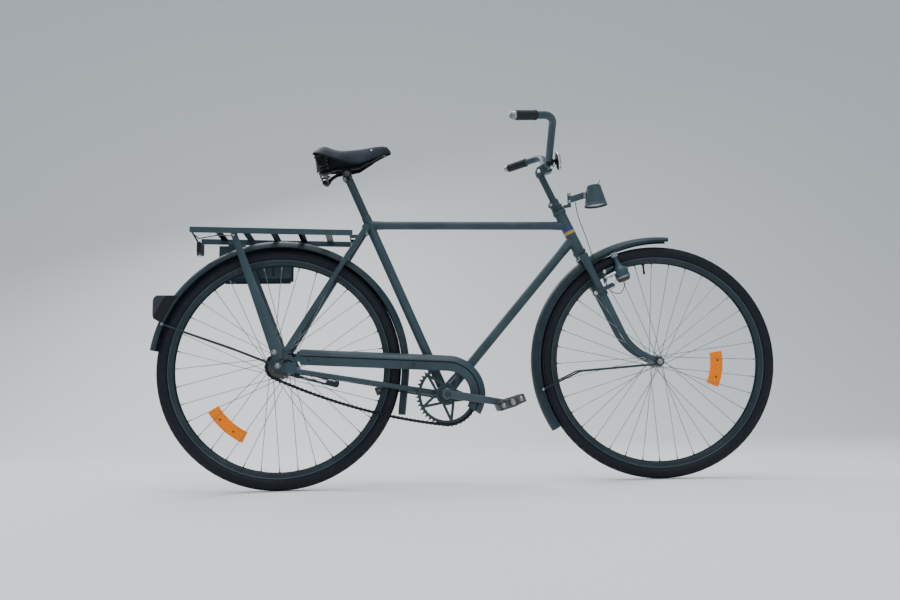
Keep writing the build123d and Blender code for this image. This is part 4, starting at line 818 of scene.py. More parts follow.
def fair(rows, place, column):
    """A smooth curve through one column of a table, at a place between its rows."""
    near = min(int(place), len(rows) - 2)
    part = place - near
    around = (min(max(near + step, 0), len(rows) - 1) for step in (-1, 0, 1, 2))
    before, first, last, after = (rows[row][column] for row in around)
    slope = (last - before) * part + (2 * before - 5 * first + 4 * last - after) * part**2
    return first + 0.5 * (slope + (3 * first - before - 3 * last + after) * part**3)


def saddle_height(x, out):
    """Height of the leather's upper face at a place."""
    place = 0
    while place < len(SADDLE_SECTIONS) - 1.02 and fair(SADDLE_SECTIONS, place, 0) > x:
        place += 0.01
    crown, edge, half = (fair(SADDLE_SECTIONS, place, column) for column in (1, 2, 3))
    return edge + (crown - edge) * (1 - min(abs(out) / half, 1) ** SADDLE_ROUND)


top = bmesh.new()
bmesh.ops.create_grid(top, x_segments=48, y_segments=28, size=1)
for vertex in top.verts:
    place = (vertex.co.x + 1) / 2 * (len(SADDLE_SECTIONS) - 1)
    lean = vertex.co.y
    x, crown, edge, half = (fair(SADDLE_SECTIONS, place, column) for column in range(4))
    bow = 1 - abs(lean) ** SADDLE_ROUND
    crease = 0.5 * sin(x / 6 + lean * 5) * sin(lean * 6 + x / 17) * bow * (1 - bow)
    vertex.co = Vector((x, edge + (crown - edge) * bow + crease, half * lean))
bmesh.ops.recalc_face_normals(top, faces=top.faces)
if sum(face.normal.y for face in top.faces) < 0:
    bmesh.ops.reverse_faces(top, faces=top.faces)
saddle = dress("saddle_leather_top", top, "root", [leather], SIDE, ["saddle_cover"], 80)
thickness = saddle.modifiers.new("thickness", "SOLIDIFY")
thickness.thickness = 0.0042
thickness.offset = -1
rounding = saddle.modifiers.new("rounding", "SUBSURF")
rounding.levels = 1
rounding.render_levels = 1

# %% [markdown]
# Rivets hold the leather to a steel plate at the tail and at the nose. Each is a low
# dome that takes its height and its lean from the leather under it.

# %% Saddle rivets
RIVETS = (
    (108, -70), (104, -44), (102, -15), (102, 15), (104, 44), (108, 70), (271, 16), (271, -16),
    (318, 0),
)
RIVET = ((0, -1), (3.7, -1), (3.5, 0.5), (2.4, 1.2), (0, 1.6))
rivets = bmesh.new()
for x, out in RIVETS:
    fall = Vector((saddle_height(x - 2, out) - saddle_height(x + 2, out), 4, 0))
    fall.z = saddle_height(x, out - 2) - saddle_height(x, out + 2)
    seat = Vector((x, saddle_height(x, out), out))
    collect(rivets, lathe(RIVET, 16), upright(seat, seat + fall))
dress("saddle_rivets", rivets, "root", [steel], SIDE)

# %% [markdown]
# A coil spring starts as the small circle of its wire. The circle is spun about the
# spring's axis and climbs as it turns, and its coils are flared towards the top. A
# strap is a row of squares along its line, bridged one to the next.

# %% Helpers for springs and straps
COILS = 5


def coil_spring(low, high, narrow, wide, thick):
    """A helix of round wire that climbs along Z."""
    shape = bmesh.new()
    section = bmesh.ops.create_circle(shape, segments=8, radius=thick)["verts"]
    bmesh.ops.rotate(shape, verts=section, matrix=Matrix.Rotation(radians(90), 3, "X"))
    bmesh.ops.translate(shape, verts=section, vec=(narrow, 0, low))
    steps = COILS * 20
    geom = shape.verts[:] + shape.edges[:]
    climb = Vector((0, 0, (high - low) / steps))
    about = {"cent": (0, 0, 0), "axis": (0, 0, 1), "angle": 2 * pi * COILS}
    bmesh.ops.spin(shape, geom=geom, dvec=climb, steps=steps, **about)
    bmesh.ops.holes_fill(shape, edges=[e for e in shape.edges if e.is_boundary], sides=8)
    for vertex in shape.verts:
        flare = 1 + (wide / narrow - 1) * (vertex.co.z - low) / (high - low)
        vertex.co.xy *= flare
    bmesh.ops.recalc_face_normals(shape, faces=shape.faces)
    return shape


def strap(piece, centres, width, thick):
    """A flat bar through a few (x, up, out) points, its ends and bends made square."""
    shape = bmesh.new()
    rings = []
    for number, centre in enumerate(centres):
        after = centres[min(number + 1, len(centres) - 1)]
        ahead = Vector(after) - Vector(centres[max(number - 1, 0)])
        rise = Vector((-ahead.y, ahead.x, 0)).normalized()
        across = ahead.normalized().cross(rise)
        ring = []
        for up, out in ((1, 1), (1, -1), (-1, -1), (-1, 1)):
            corner = Vector(centre) + rise * up * thick / 2 + across * out * width / 2
            ring.append(shape.verts.new(corner))
        rings.append([shape.edges.new((ring[k], ring[(k + 1) % 4])) for k in range(4)])
    for first, last in zip(rings, rings[1:]):
        bmesh.ops.bridge_loops(shape, edges=first + last)
    bmesh.ops.contextual_create(shape, geom=rings[0])
    bmesh.ops.contextual_create(shape, geom=rings[-1])
    bmesh.ops.recalc_face_normals(shape, faces=shape.faces)
    soften(shape, min(thick, width) * 0.2, 50)
    collect(piece, shape)


# %% [markdown]
# Under the leather sit two coil springs, a bridge over them, strap rails that run
# forward to the nose, and the clamp that holds it all on the seat post.

# %% Saddle springs, rails and clamp
SPRING_FOOT = Vector((132, 575, 50))
SPRING_HEAD = Vector((117, 637, 50))
RAIL = (
    (314, 664, 4), (290, 648, 9), (268, 632, 14), (233, 610, 20),
    (196, 603, 25), (165, 600, 31), (150, 593, 38), (134, 581, 50),
)
sprung = bmesh.new()
for side in (1, -1):
    foot, head = (Vector((v.x, v.y, v.z * side)) for v in (SPRING_FOOT, SPRING_HEAD))
    way = (head - foot).normalized()
    collect(sprung, coil_spring(8, 60, 12, 17, 2.3), upright(foot, head))
    strap(sprung, [(x, up, out * side) for x, up, out in RAIL], 6.5, 10)
    for low, high, wide in ((2, 8, 13), (8, 11, 9), (60, 63, 20)):
        rod(sprung, foot + way * low, foot + way * high, wide, wide * 0.94, 28)
    bolt(sprung, foot + way * 2, -way, 7.5, 7, 1)
    rod(sprung, (116, 637, side * 70), (116, saddle_height(116, 70) - 4.5, side * 70), 4.5, 4.5, 12)
rod(sprung, (134, 580, 52), (134, 580, -52), 3.8, 3.8, 14)
strap(sprung, [(118, 638, 78), (118, 638, 0), (118, 638, -78)], 34, 3.4)
rod(sprung, (196, 586, -29), (196, 586, 29), 13, 13, 32)
for side in (1, -1):
    rod(sprung, (196, 590, side * 19), (196, 590, side * 30), 15.5, 15.5, 28)
    stud(sprung, (196, 586, side * 30), side * 1.5, 10, 10, 24)
    bolt(sprung, (196, 586, side * 31), (0, 0, side), 8.5, 7, 1)
    stud(sprung, (196, 586, side * 37), side * 3, 4, 3.2, 14)
rod(sprung, (312, 657, 0), (312, 678, 0), 4.5, 4.5, 14, 1)
bolt(sprung, (312, 658, 0), (0, -1, 0), 7, 5, 1)
dress("saddle_springs", sprung, "root", [black_metal, dark_steel], SIDE, ["saddle_frame"], 45)

# %% [markdown]
# Grips: a moulded rubber sleeve with low ridges for the fingers, closed by a short
# steel cap. A helper turns a list of radii about any line between two points.

# %% Grips


def turned(piece, start, finish, profile, steps=32, material=0):
    """Adds a lathe shape whose profile heights are millimetres from start to finish."""
    collect(piece, lathe(profile, steps), upright(start, finish), material)


BAR_ENDS = (Vector((707, 696, 298)), Vector((829, 716, 226)))
grips = bmesh.new()
for side in (1, -1):
    end, bend = (Vector((v.x, v.y, v.z * side)) for v in BAR_ENDS)
    sleeve = [(0, 8), (13.0, 8), (13.8, 10)]
    for ridge in range(10):
        at = 12 + ridge * 6.4
        sleeve += [(14.1, at), (14.2, at + 3.2), (13.5, at + 4.0), (13.5, at + 5.4)]
    sleeve += [(14.9, 76.5), (14.9, 79.5), (14.2, 81), (11.2, 81)]
    turned(grips, end, bend, sleeve)
    cap = [(0, -6), (6, -6), (8.8, -4.8), (10.6, -2), (12.4, 4), (13.0, 7), (13.0, 8.4), (0, 8.4)]
    turned(grips, end, bend, cap, material=1)
dress("grips_ribbed", grips, "fork", [grip_rubber, steel], FORK, ["grips"], 30)

# %% [markdown]
# The bell is a pressed dome, bright in front and black behind, where the striker and
# its thumb lever sit on a clamp round the bar.

# %% Bell
BELL = Vector((854, 624, 62))
bell_facing = polar(1, 8)
DOME = (
    (27, -1.5), (29.3, -2), (30.3, -1), (30.2, 0.6), (29.2, 3), (26.2, 5.6), (20, 8), (12, 9.4),
    (3.5, 9.9), (3.2, 10.8), (0, 11.2),
)
BACK_PLATE = ((0, -5), (24, -5), (27.6, -3.4), (27.6, -1), (0, -1))
STRIKER_CASE = ((0, 4), (9, 4), (9, 9), (6.5, 12), (6.5, 25), (0, 25))
bell = bmesh.new()
turned(bell, BELL, BELL + bell_facing, DOME, 56, 0)
turned(bell, BELL, BELL + bell_facing, BACK_PLATE, 48, 1)
turned(bell, BELL, BELL - bell_facing, STRIKER_CASE, 24, 1)
lever = BELL - bell_facing * 9
knee = lever + Vector((-6, -18, 10))
rod(bell, lever, knee, 3, 2.4)
rod(bell, knee, lever + Vector((-12, -24, 22)), 2.4, 4.6)
rod(bell, (829, 619, 56), (829, 623, 68), 12.6, 12.6, 28, 1)
dress("bell_dome", bell, "fork", [chrome, black_metal], FORK, ["bell"], 35)

# %% [markdown]
# The stem is a painted quill with a lug that clamps the bar. The head locks under it
# with a stack of rings, and a bolt behind draws the clamp of the lamp bracket tight.

# %% Stem, headset and lamp bracket
HEAD_TOP_UP = 476.6
BAR_AT = (826, 617)
LUG_RADIUS = 17
COLLAR = ((10.6, -3), (13.6, -1), (14.2, 2), (14.2, 9), (12.6, 11.4), (10.6, 12.4))
stem = bmesh.new()
quill_top = Vector((head_x(604), 604, 0))
quill_low = Vector((head_x(HEAD_TOP_UP + 20), HEAD_TOP_UP + 20, 0))
rod(stem, quill_low, quill_top, 10.8, 10.8, 40)
turned(stem, quill_top.lerp(quill_low, 0.02), quill_low, COLLAR, 36)
round_bar = [radians(a) for a in range(-64, 107, 10)]
lug = [(BAR_AT[0] + LUG_RADIUS * cos(a), BAR_AT[1] + LUG_RADIUS * sin(a)) for a in round_bar]
collect(stem, slab(lug + [(792, 617), (787, 607), (791, 596), (803, 594)], -18.6, 18.6, 2.4))
for side in (1, -1):
    stud(stem, (*BAR_AT, side * 18.2), side * 1.2, 15.4, 13.4, 32, 0)
rod(stem, (797, 604, -19.6), (797, 604, 19.6), 3.4, 3.4, 12, 1)
for side in (1, -1):
    bolt(stem, (797, 604, side * 18.8), (0, 0, side), 6.4, 4.6, 1)
dress("stem_lug", stem, "fork", [paint_dark, chrome], FORK, ["stem"], 40)

# Rings from low to high over the head tube: from, to, radius below and above, sides
STACK = (
    (0.4, 3.0, 20.2, 20.2, 48),
    (3.0, 6.0, 16.6, 16.6, 48),
    (6.0, 10.5, 20.0, 19.0, 48),
    (10.5, 13.0, 15.8, 15.8, 48),
    (13.0, 18.5, 19.0, 18.6, 8),
    (18.5, 20.0, 16.4, 15.0, 48),
    (20.0, 36.0, 14.6, 14.6, 48),
)
rings = bmesh.new()
for low, high, wide, taper, sides in STACK:
    low, high = (Vector((head_x(HEAD_TOP_UP + h), HEAD_TOP_UP + h, 0)) for h in (low, high))
    rod(rings, low, high, wide, taper, sides)
clamp = Vector((833, 497, 0))
for side in (1, -1):
    stud(rings, clamp + Vector((0, 0, side * 2)), side * 6.5, 7.8, 7.8, 20, 0)
    rod(rings, clamp + Vector((2, 0, side * 5)), clamp + Vector((14, 5, side * 7)), 5.4, 5.4)
stud(rings, clamp + Vector((0, 0, -12)), 25, 3, 3, 12)
bolt(rings, clamp + Vector((0, 0, 8.5)), (0, 0, 1), 6, 4.6, 1)
dress("headset_rings", rings, "fork", [paint_dark, steel], FORK, ["headset"], 35)

bracket = cad_copy("lamp_bracket", FORK, 0.5)
for x, up in ((892, 531), (892, 508), (942, 523), (942, 534)):
    bolt(bracket, (x, up, 1.4), (0, 0, 1), 4.4, 3.4, 1)
    stud(bracket, (x, up, 1.4), 0.8, 5.6, 5.4, 18)
    stud(bracket, (x, up, -1.4), -2.6, 3.2, 3, 12)
dress("lamp_bracket_plate", bracket, "fork", [paint, steel], FORK, ["lamp_bracket"], 40)

# %% [markdown]
# The headlamp is a deep spun shade that points its light at the road, as an army
# lamp must. The shade is one lathe wall with a rolled rim; a bowl reflector, a bulb
# and the glass are set inside it, and a switch stands on its top.

# %% Headlamp
LAMP_FOOT = Vector((975, 491, 0))
LAMP_TOP = Vector((969.5, 559, 0))
SHADE = (
    (34.0, 4.5), (34.2, 1.2), (35.2, 0), (36.4, 0.6), (36.6, 2.6), (35.9, 4.6), (35.0, 5.6),
    (34.2, 9), (29.5, 30), (24.2, 53), (22.8, 61), (21.6, 65), (18.4, 67.4), (10, 68.4),
    (0, 68.8), (0, 65.5), (16, 64.6), (20.4, 60), (28, 30), (32.6, 9), (34.0, 4.5),
)
BOWL = (
    (32.8, 6.6), (29, 16), (22, 26), (12, 34), (5, 36), (5, 38), (24, 28), (31, 16), (32.8, 6.6),
)
BULB = ((0, 16), (3.6, 18), (4.6, 22), (3.6, 27), (3.6, 36), (0, 36))
GLASS = ((0, 2.6), (12, 2.8), (24, 3.6), (33.4, 5), (33.4, 6.4), (24, 5.8), (0, 4.8))
headlamp = bmesh.new()
turned(headlamp, LAMP_FOOT, LAMP_TOP, SHADE, 72, 0)
turned(headlamp, LAMP_FOOT, LAMP_TOP, BOWL, 56, 1)
turned(headlamp, LAMP_FOOT, LAMP_TOP, BULB, 20, 1)
knob = LAMP_TOP + Vector((19.5, 14, 0))
rod(headlamp, LAMP_TOP + Vector((15, 4, 0)), knob, 2.4, 1.8, 14, 1)
rod(headlamp, knob, LAMP_TOP + Vector((20.3, 16, 0)), 3.0, 2.4, 14, 1)
dress("headlamp_shade", headlamp, "fork", [lamp_paint, steel], FORK, ["headlamp"], 35)
glass = bmesh.new()
turned(glass, LAMP_FOOT, LAMP_TOP, GLASS, 56)
dress("headlamp_glass", glass, "fork", [clear_lens], FORK, ["headlamp_lens"], 35)

# %% [markdown]
# The dynamo is a bottle: a small roller that the tyre turns, a slender neck, round
# shoulders and a body with a bright band. It swings on a sprung bracket that is
# clamped to the fork blade.

# %% Dynamo
DYNAMO_FOOT = Vector((1048, 248.5, 38))
DYNAMO_CAP = Vector((1016.5, 336.5, 38))
BOTTLE = (
    (0, -0.6), (8, -0.6), (14.5, 0.4), (18.4, 3), (20.4, 7.4), (22.0, 9), (22.3, 30), (21.6, 35),
    (19.4, 39.4), (15.0, 44), (10.6, 50), (7.8, 56), (6.2, 63), (5.2, 71), (5.0, 79), (0, 79),
)
BAND = ((21.4, 9.6), (23, 10), (23, 14.6), (21.8, 15))
FOOT_CAP = ((0, -1.2), (13, -1.2), (17.6, 0.6), (19.4, 3.4), (20.2, 7), (19, 7.4))
roller = [(0, 78), (6.4, 78), (9.2, 80.0)]
for flute in range(4):
    roller += [(10.4, 81.0 + flute * 2.6), (9.9, 82.2 + flute * 2.6)]
roller += [(10.0, 91.4), (8.8, 92.2), (0, 92.2)]
dynamo = bmesh.new()
bottle_parts = ((BOTTLE, 48, 0), (BAND, 48, 1), (FOOT_CAP, 40, 3), (roller, 36, 2))
for profile, steps, material in bottle_parts:
    turned(dynamo, DYNAMO_FOOT, DYNAMO_CAP, profile, steps, material)
stroke = (DYNAMO_CAP - DYNAMO_FOOT).normalized() * 11
for part in range(4):
    at = Vector((9 + part * 3.6, 3 + part * 1.2, 18.6 - part * 2.4))
    at += DYNAMO_FOOT.lerp(DYNAMO_CAP, 0.30)
    rod(dynamo, at, at + stroke, 0.9, 0.9, 8, 1)
finishes = [lamp_paint, steel, pale_plastic, brown_cap]
dress("dynamo_bottle", dynamo, "fork", finishes, FORK, ["dynamo"], 35)

# %% [markdown]
# The bracket is a clamp with an ear, an arm with a spring wound round it, and a cheek
# that holds the bottle. A bent wire trips the spring.

# %% Dynamo bracket
EAR = (955, 210, 53)
PIVOT = Vector((1008, 235, 60))
ARM = ((957, 206.5), (1006, 228), (1012, 235), (1006, 242), (957, 218.5), (952, 212))
CHEEK = ((981, 240), (990, 238), (992, 262), (989, 283), (980, 281), (979, 260))
TRIP = (
    (1018, 252, 58), (1016, 245, 61), (1019, 240, 61), (1014, 234, 60), (1013, 227, 60),
    (1003, 222, 60),
)
# Rods from the cheek to the bottle: from, to, radius, sides, material
HOLDERS = (
    ((984, 276, 61), (1012, 290, 50), 3.4, 14, 0),
    ((989, 258, 60), (1018, 272, 50), 5.6, 18, 1),
    ((1000, 263, 55), (1006, 266, 53), 6.4, 18, 0),
    ((1012, 269, 52), (1032, 278, 44), 4.4, 14, 0),
)
mount = bmesh.new()
blade_at = Vector((head_x(211), 211, 48))
blade_way = Vector((-sin(HEAD_TILT), cos(HEAD_TILT), 0))
rod(mount, blade_at - blade_way * 8, blade_at + blade_way * 8, 15.4, 15.0, 32)
ear_end = stud(mount, EAR, 10, 8.6, 8.6, 24, 0)
rod(mount, Vector(EAR) + Vector((0, -1, 2)), blade_at + Vector((-8, 0, 6)), 5.5, 5.5)
bolt(mount, ear_end, (0, 0, 1), 5.8, 4.6, 1, 18)
collect(mount, slab(ARM, 62.6, 66, 0.8))
for ring in range(6):
    at = Vector((983, 224, 60)).lerp(PIVOT, ring / 5)
    collect(mount, torus(6.4, 1.2, 20), upright(at, at + Vector((1, 0.62, 0.5))))
bolt(mount, PIVOT + Vector((0, 0, 6)), (0, 0, 1), 4.6, 3.6)
collect(mount, slab(CHEEK, 57, 60, 0.8))
for start, finish, radius, sides, material in HOLDERS:
    rod(mount, start, finish, radius, radius, sides, material)
for x, up, wide in ((984, 275.5, 5.6), (987, 257.5, 4.6), (985.5, 242, 3.0)):
    bolt(mount, (x, up, 60), (0, 0, 1), wide, 4, 1)
wire(mount, TRIP, 1.4, 1)
dress("dynamo_mount", mount, "fork", [paint_dark, chrome], FORK, ["dynamo_bracket"], 40)

# %% [markdown]
# One thin lead carries the current. It is a soft wire, so it is a smooth curve with a
# few control points, rounded by a bevel, and not a pipe with corners.

# %% Lamp lead
WIRE_POINTS = (
    (911, 507, 0), (913, 478, 4), (921, 444, 9), (935, 400, 18), (946, 358, 29), (954, 322, 37),
    (970, 284, 46), (984, 246, 57), (1000, 212, 57), (1044, 206, 44), (1050, 251, 38),
)
lead_data = bpy.data.curves.new("lamp_lead", "CURVE")
lead_data.dimensions = "3D"
lead_data.bevel_depth = 1.25 * MM
lead_data.bevel_resolution = 3
lead_line = lead_data.splines.new("NURBS")
lead_line.points.add(len(WIRE_POINTS) - 1)
for point, place in zip(lead_line.points, WIRE_POINTS):
    point.co = (*spot(*place, FORK), 1)
lead_line.order_u = 3
lead_line.use_endpoint_u = True
lead_line.resolution_u = 8
lead_data.materials.append(grip_rubber)
lead = bpy.data.objects.new("lamp_lead", lead_data)
bpy.context.scene.collection.objects.link(lead)
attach(lead, "fork")
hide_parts("lamp_wire")
print("lead", round(lead_line.calc_length() * 1000), "mm long")

# %% [markdown]
# The front mudguard is one sheet with a rounded crown, and its edges are rolled in
# towards the tyre, which stiffens them. Its section is spun round the axle, the front
# end is tapered and lifted, and a wire bead closes it.

# %% Front mudguard


def arch(crown, steps):
    """The round crown of a guard's section, as (radius, out), for angles about its middle."""
    return [(crown - ARCH + ARCH * cos(radians(a)), ARCH * sin(radians(a))) for a in steps]


def tapered(radius, angle):
    """The guard's skirt gets shallower towards its front end, and lifts a little."""
    near = min(max((TAPER_FROM - angle) / (TAPER_FROM - GUARD_FRONT), 0), 1)
    return GUARD_CROWN + FRONT_LIFT * near * near - (GUARD_CROWN - radius) * (1 - 0.45 * near)


def stay_bolt(piece, start, long, side):
    """Adds a screw's shank that leaves a stay's eye, and its nut."""
    end = stud(piece, start, side * long, 2.6, 2.6, 12)
    bolt(piece, end, (0, 0, side), 4.6, 3.4, 1)


GUARD_CROWN = 384.3
GUARD_FRONT = 82.5
GUARD_SPAN = 130
TAPER_FROM = 120
FRONT_LIFT = 3.5
ARCH = 27.86
LIP = [(362.4, 25.8), (359.6, 22.8), (356.8, 20.8), (354.6, 20.2)]
section = mirrored(arch(GUARD_CROWN, range(0, 76, 5)) + LIP)
guard = bmesh.new()
points = [guard.verts.new((radius, 0, out)) for radius, out in section]
lines = [guard.edges.new(pair) for pair in zip(points, points[1:])]
front_end = Matrix.Rotation(radians(GUARD_FRONT), 3, "Z")
bmesh.ops.rotate(guard, verts=points, cent=(0, 0, 0), matrix=front_end)
about = {"cent": (0, 0, 0), "axis": (0, 0, 1), "angle": radians(GUARD_SPAN)}
bmesh.ops.spin(guard, geom=points + lines, steps=96, **about)
for vertex in guard.verts:
    angle = degrees(atan2(vertex.co.y, vertex.co.x)) % 360
    vertex.co.xy *= tapered(vertex.co.xy.length, angle) / vertex.co.xy.length
bmesh.ops.recalc_face_normals(guard, faces=guard.faces)
crown = [face for face in guard.faces if abs(face.calc_center_median().z) < 9]
if sum(face.normal.dot(face.calc_center_median()) for face in crown) < 0:
    bmesh.ops.reverse_faces(guard, faces=guard.faces)
bmesh.ops.solidify(guard, geom=guard.faces[:], thickness=1.2)
bead_at = GUARD_FRONT + 0.1
bead = [polar(tapered(radius, GUARD_FRONT) - 0.6, bead_at, out) for radius, out in section]
wire(guard, bead, 0.9)
for ahead in (118, 166):
    for out in (9, -9):
        at = polar(GUARD_CROWN - 1.6, ahead, out)
        rod(guard, at, at + polar(2.6, ahead), 3.6, 2.4, 14, 1)
for side in (1, -1):
    stay_bolt(guard, (790 - WHEELBASE, -78, side * 21), 11, side)
dress("front_guard_rolled", guard, "fork", [guard_paint, steel], FRONT, ["front_mudguard"], 40)

# %% [markdown]
# The rear guard keeps its engineering shape, and gets rolled edges as thin hoops and
# the heads of its screws.

# %% Rear mudguard edges


def hoop(piece, centre, radius, span, thick, out=0, material=0, steps=48):
    """Adds a wire that is bent round the out axis, from one angle of span to the other."""
    upended = Matrix.Rotation(pi / 2, 4, "X")
    first = Matrix.Rotation(radians(span[0]), 3, "Z")
    shape = bmesh.new()
    bmesh.ops.create_circle(shape, segments=10, radius=thick, matrix=upended)
    bmesh.ops.translate(shape, verts=shape.verts, vec=(radius, 0, 0))
    bmesh.ops.rotate(shape, verts=shape.verts, cent=(0, 0, 0), matrix=first)
    about = {"cent": (0, 0, 0), "axis": (0, 0, 1), "angle": radians(span[1] - span[0])}
    bmesh.ops.spin(shape, geom=shape.verts[:] + shape.edges[:], steps=steps, **about)
    bmesh.ops.holes_fill(shape, edges=[e for e in shape.edges if e.is_boundary], sides=12)
    bmesh.ops.recalc_face_normals(shape, faces=shape.faces)
    collect(piece, shape, Matrix.Translation(Vector(centre) + Vector((0, 0, out))), material)


edges = bmesh.new()
for side in (1, -1):
    hoop(edges, (0, 0, 0), 359.2, (-6, 171.5), 1.5, side * 26.2, 0, 80)
    edge_end = polar(359.2, -6, side * 26.2)
    rod(edges, edge_end, edge_end + polar(100, -96), 1.5, 1.5, 10)
    stay_bolt(edges, (-337, 129, side * 27), 5, side)
bead = [polar(radius - 1.2, 171.3, out) for radius, out in arch(380, range(-75, 76, 10))]
wire(edges, bead, 1.1)
bolt(edges, polar(380, 146, 8), polar(1, 146), 4.4, 4, 1, 14)
dress("rear_guard_edges", edges, "root", [guard_paint, steel], SIDE, (), 40)

# %% [markdown]
# The chain guard is folded sheet. Pressed beads follow its upper edge, with a thin black
# wire under the first as painted shade in its crease, and two screws hold it to the frame.

# %% Chain guard
CASE_OUT = 54
CASE_SLOPE = tan(radians(-3.25))
NOSE_RADIUS = 115
# Depth, x, radius and finish of each bead; the black second one is painted shade.
BEADS_AND_CREASE_SHADE = ((17.5, 62, 2.5, 0), (20.8, 62, 1.3, 2), (45.2, 74, 1.1, 0))
turn_start = BRACKET + polar(NOSE_RADIUS, 86.75)
inward = polar(1, -93.25)
case = cad_copy("chain_guard", SIDE, 0.35, 30, 1)


def case_edge(x, out):
    """A point on the straight upper edge of the guard's outer face."""
    return Vector((x, turn_start.y + (x - turn_start.x) * CASE_SLOPE, out))


for depth, x, wide, tone in BEADS_AND_CREASE_SHADE:
    bend = turn_start + Vector((0, 0, CASE_OUT + 0.2))
    start = case_edge(x, CASE_OUT + 0.2)
    rod(case, start + inward * depth, bend + inward * depth, wide, wide, 12, tone)
    hoop(case, BRACKET, NOSE_RADIUS - depth, (86.75, -31), wide, CASE_OUT + 0.2, tone)
for x in (86, 392):
    washer = stud(case, case_edge(x, CASE_OUT) + inward * 31, 1, 5.4, 5.2, 20)
    stud(case, washer, 1.6, 4.2, 3.0, 20)
finishes = [paint, paint_dark, black_metal]
dress("chain_guard_folded", case, "root", finishes, SIDE, ["chain_guard"], 35)

# %% [markdown]
# The carrier: rails with a rivet at each end of a slat, struts whose feet are bolted
# over slots, one bent wire under its right rail that straps hook on, and a red plate.

# %% Carrier


def carrier_up(x):
    """Height of the platform, which falls a little towards the front."""
    return 407 - (x + 255) * tan(radians(1.16))


def slot_mark(piece, place, long, half, slope):
    """Adds a thin dark plate, painted shade that reads as the dark inside of a slot in a flat end.
    """
    outline = [(-long / 2, -half), (long / 2, -half), (long / 2, half), (-long / 2, half)]
    turned_plate = Matrix.Translation(place) @ Matrix.Rotation(radians(slope), 4, "Z")
    collect(piece, slab(outline, -0.3, 0.3, 0.2), turned_plate, 2)


SLATS = range(-183, 142, 81)
rack = cad_copy("rack_platform", SIDE, 0.9)
for slat in SLATS:
    for side in (1, -1):
        for x in (slat - 6, slat + 6):
            stud(rack, (x, carrier_up(x) - 5.4, side * 81), side * 1.4, 2.8, 1.8, 14, 0)
dress("carrier_platform", rack, "root", [paint, steel], SIDE, ["rack_platform"], 35)

straps = cad_copy("rack_struts", SIDE, 0.7)
for side in (1, -1):
    bolt(straps, (-131, carrier_up(-131) - 20, side * 73.5), (0, 0, side), 5.6, 4.4, 1)
    foot = stud(straps, (-12, 40.2, side * 64.5), side * 1.2, 8.2, 8.0, 24)
    bolt(straps, foot, (0, 0, side), 6.2, 5, 1)
    # Each slot is a thin black plate: painted shade for its dark inside.
    for x, up in ((1.2, 28.4), (8.4, 18.4)):
        slot_mark(straps, (x, up, side * 64.15), 11, 1.9, 22)
dress("carrier_struts", straps, "root", [paint, steel, black_metal], SIDE, ["rack_struts"], 35)

bends = [Vector(v) for v in ((-249, 390, 78), (-229, 373, 74), (-176, 383, 73), (-132, 381, 72))]
hook = bmesh.new()
wire(hook, bends, 1.7)
for bend in bends[1:-1]:
    stud(hook, bend - Vector((0, 0, 1.7)), 3.4, 1.7, 1.7, 12, 0)
dress("carrier_hook", hook, "root", [dark_steel], SIDE, (), 40)

panel = cad_copy("rack_reflector")
face = slab([(-14, -22), (14, -22), (14, 22), (-14, 22)], 0, 1.4, 0.5)
facing_back = Matrix.Translation((-246.2, 358, 0)) @ Matrix.Rotation(-pi / 2, 4, "Y")
collect(panel, face, facing_back, 1)
dress("carrier_reflector", panel, "root", [black_plastic, red_lens], SIDE, ["rack_reflector"], 35)

# %% [markdown]
# The toolbox is folded from sheet, so its edges are round. Its lid hangs on two long
# hinges and is held shut by a latch with a ring to pull. Faces that look down or ahead
# get a shaded paint, because they would mirror the pale floor.

# %% Toolbox
for node, body in (("toolbox", "root"), ("toolbox_lid", "toolbox_lid")):
    sheet = cad_copy(node, SIDE, 0.6)
    if node == "toolbox_lid":
        stud(sheet, (-91, 352, -152.6), -3.4, 5.4, 4.6, 20)
        hanging = Matrix.Translation((-91, 346.5, -155.4)) @ Matrix.Rotation(radians(12), 4, "X")
        collect(sheet, torus(5.0, 1.1, 24), hanging, 1)
    else:
        for x in (-168, -26):
            for step in (0, 12):
                bolt(sheet, (x + step, 391.5, -80.9), (0, 0, 1), 3.4, 2.2, 1, 14)
    for face in sheet.faces:
        if face.material_index == 0 and (face.normal.y < -0.4 or face.normal.x > 0.7):
            face.material_index = 2
    dress(f"{node}_folded", sheet, body, [paint, steel, shade_paint], SIDE, [node], 35)

# %% [markdown]
# The rear lamp has a black shoe on the guard and a dark red dome with rounded edges,
# greyed by a painted reflection between its prisms. Seen from the side a dull cap rim
# runs over its top.

# %% Rear lamp
shoe = cad_copy("rear_lamp_base", SIDE, 1.2)
dress("rear_lamp_shoe", shoe, "root", [black_plastic], SIDE, ["rear_lamp_base"], 40)
dome = cad_copy("rear_lamp_lens", SIDE, 3.2, 35, 3)
dress("rear_lamp_dome", dome, "root", [red_lens], SIDE, ["rear_lamp_lens"], 40)
CAP_RIM = (
    (-365.4, 205), (-357, 213.6), (-306, 213.6), (-306, 215.2), (-357.6, 215.2), (-366.6, 206.2),
)
cap = bmesh.new()
collect(cap, slab(CAP_RIM, -22, 22, 0.5))
dress("rear_lamp_cap", cap, "root", [lamp_paint], SIDE, (), 40)

# %% [markdown]
# Wheel reflectors: amber plates with round edges, and two clips that grip the spokes.

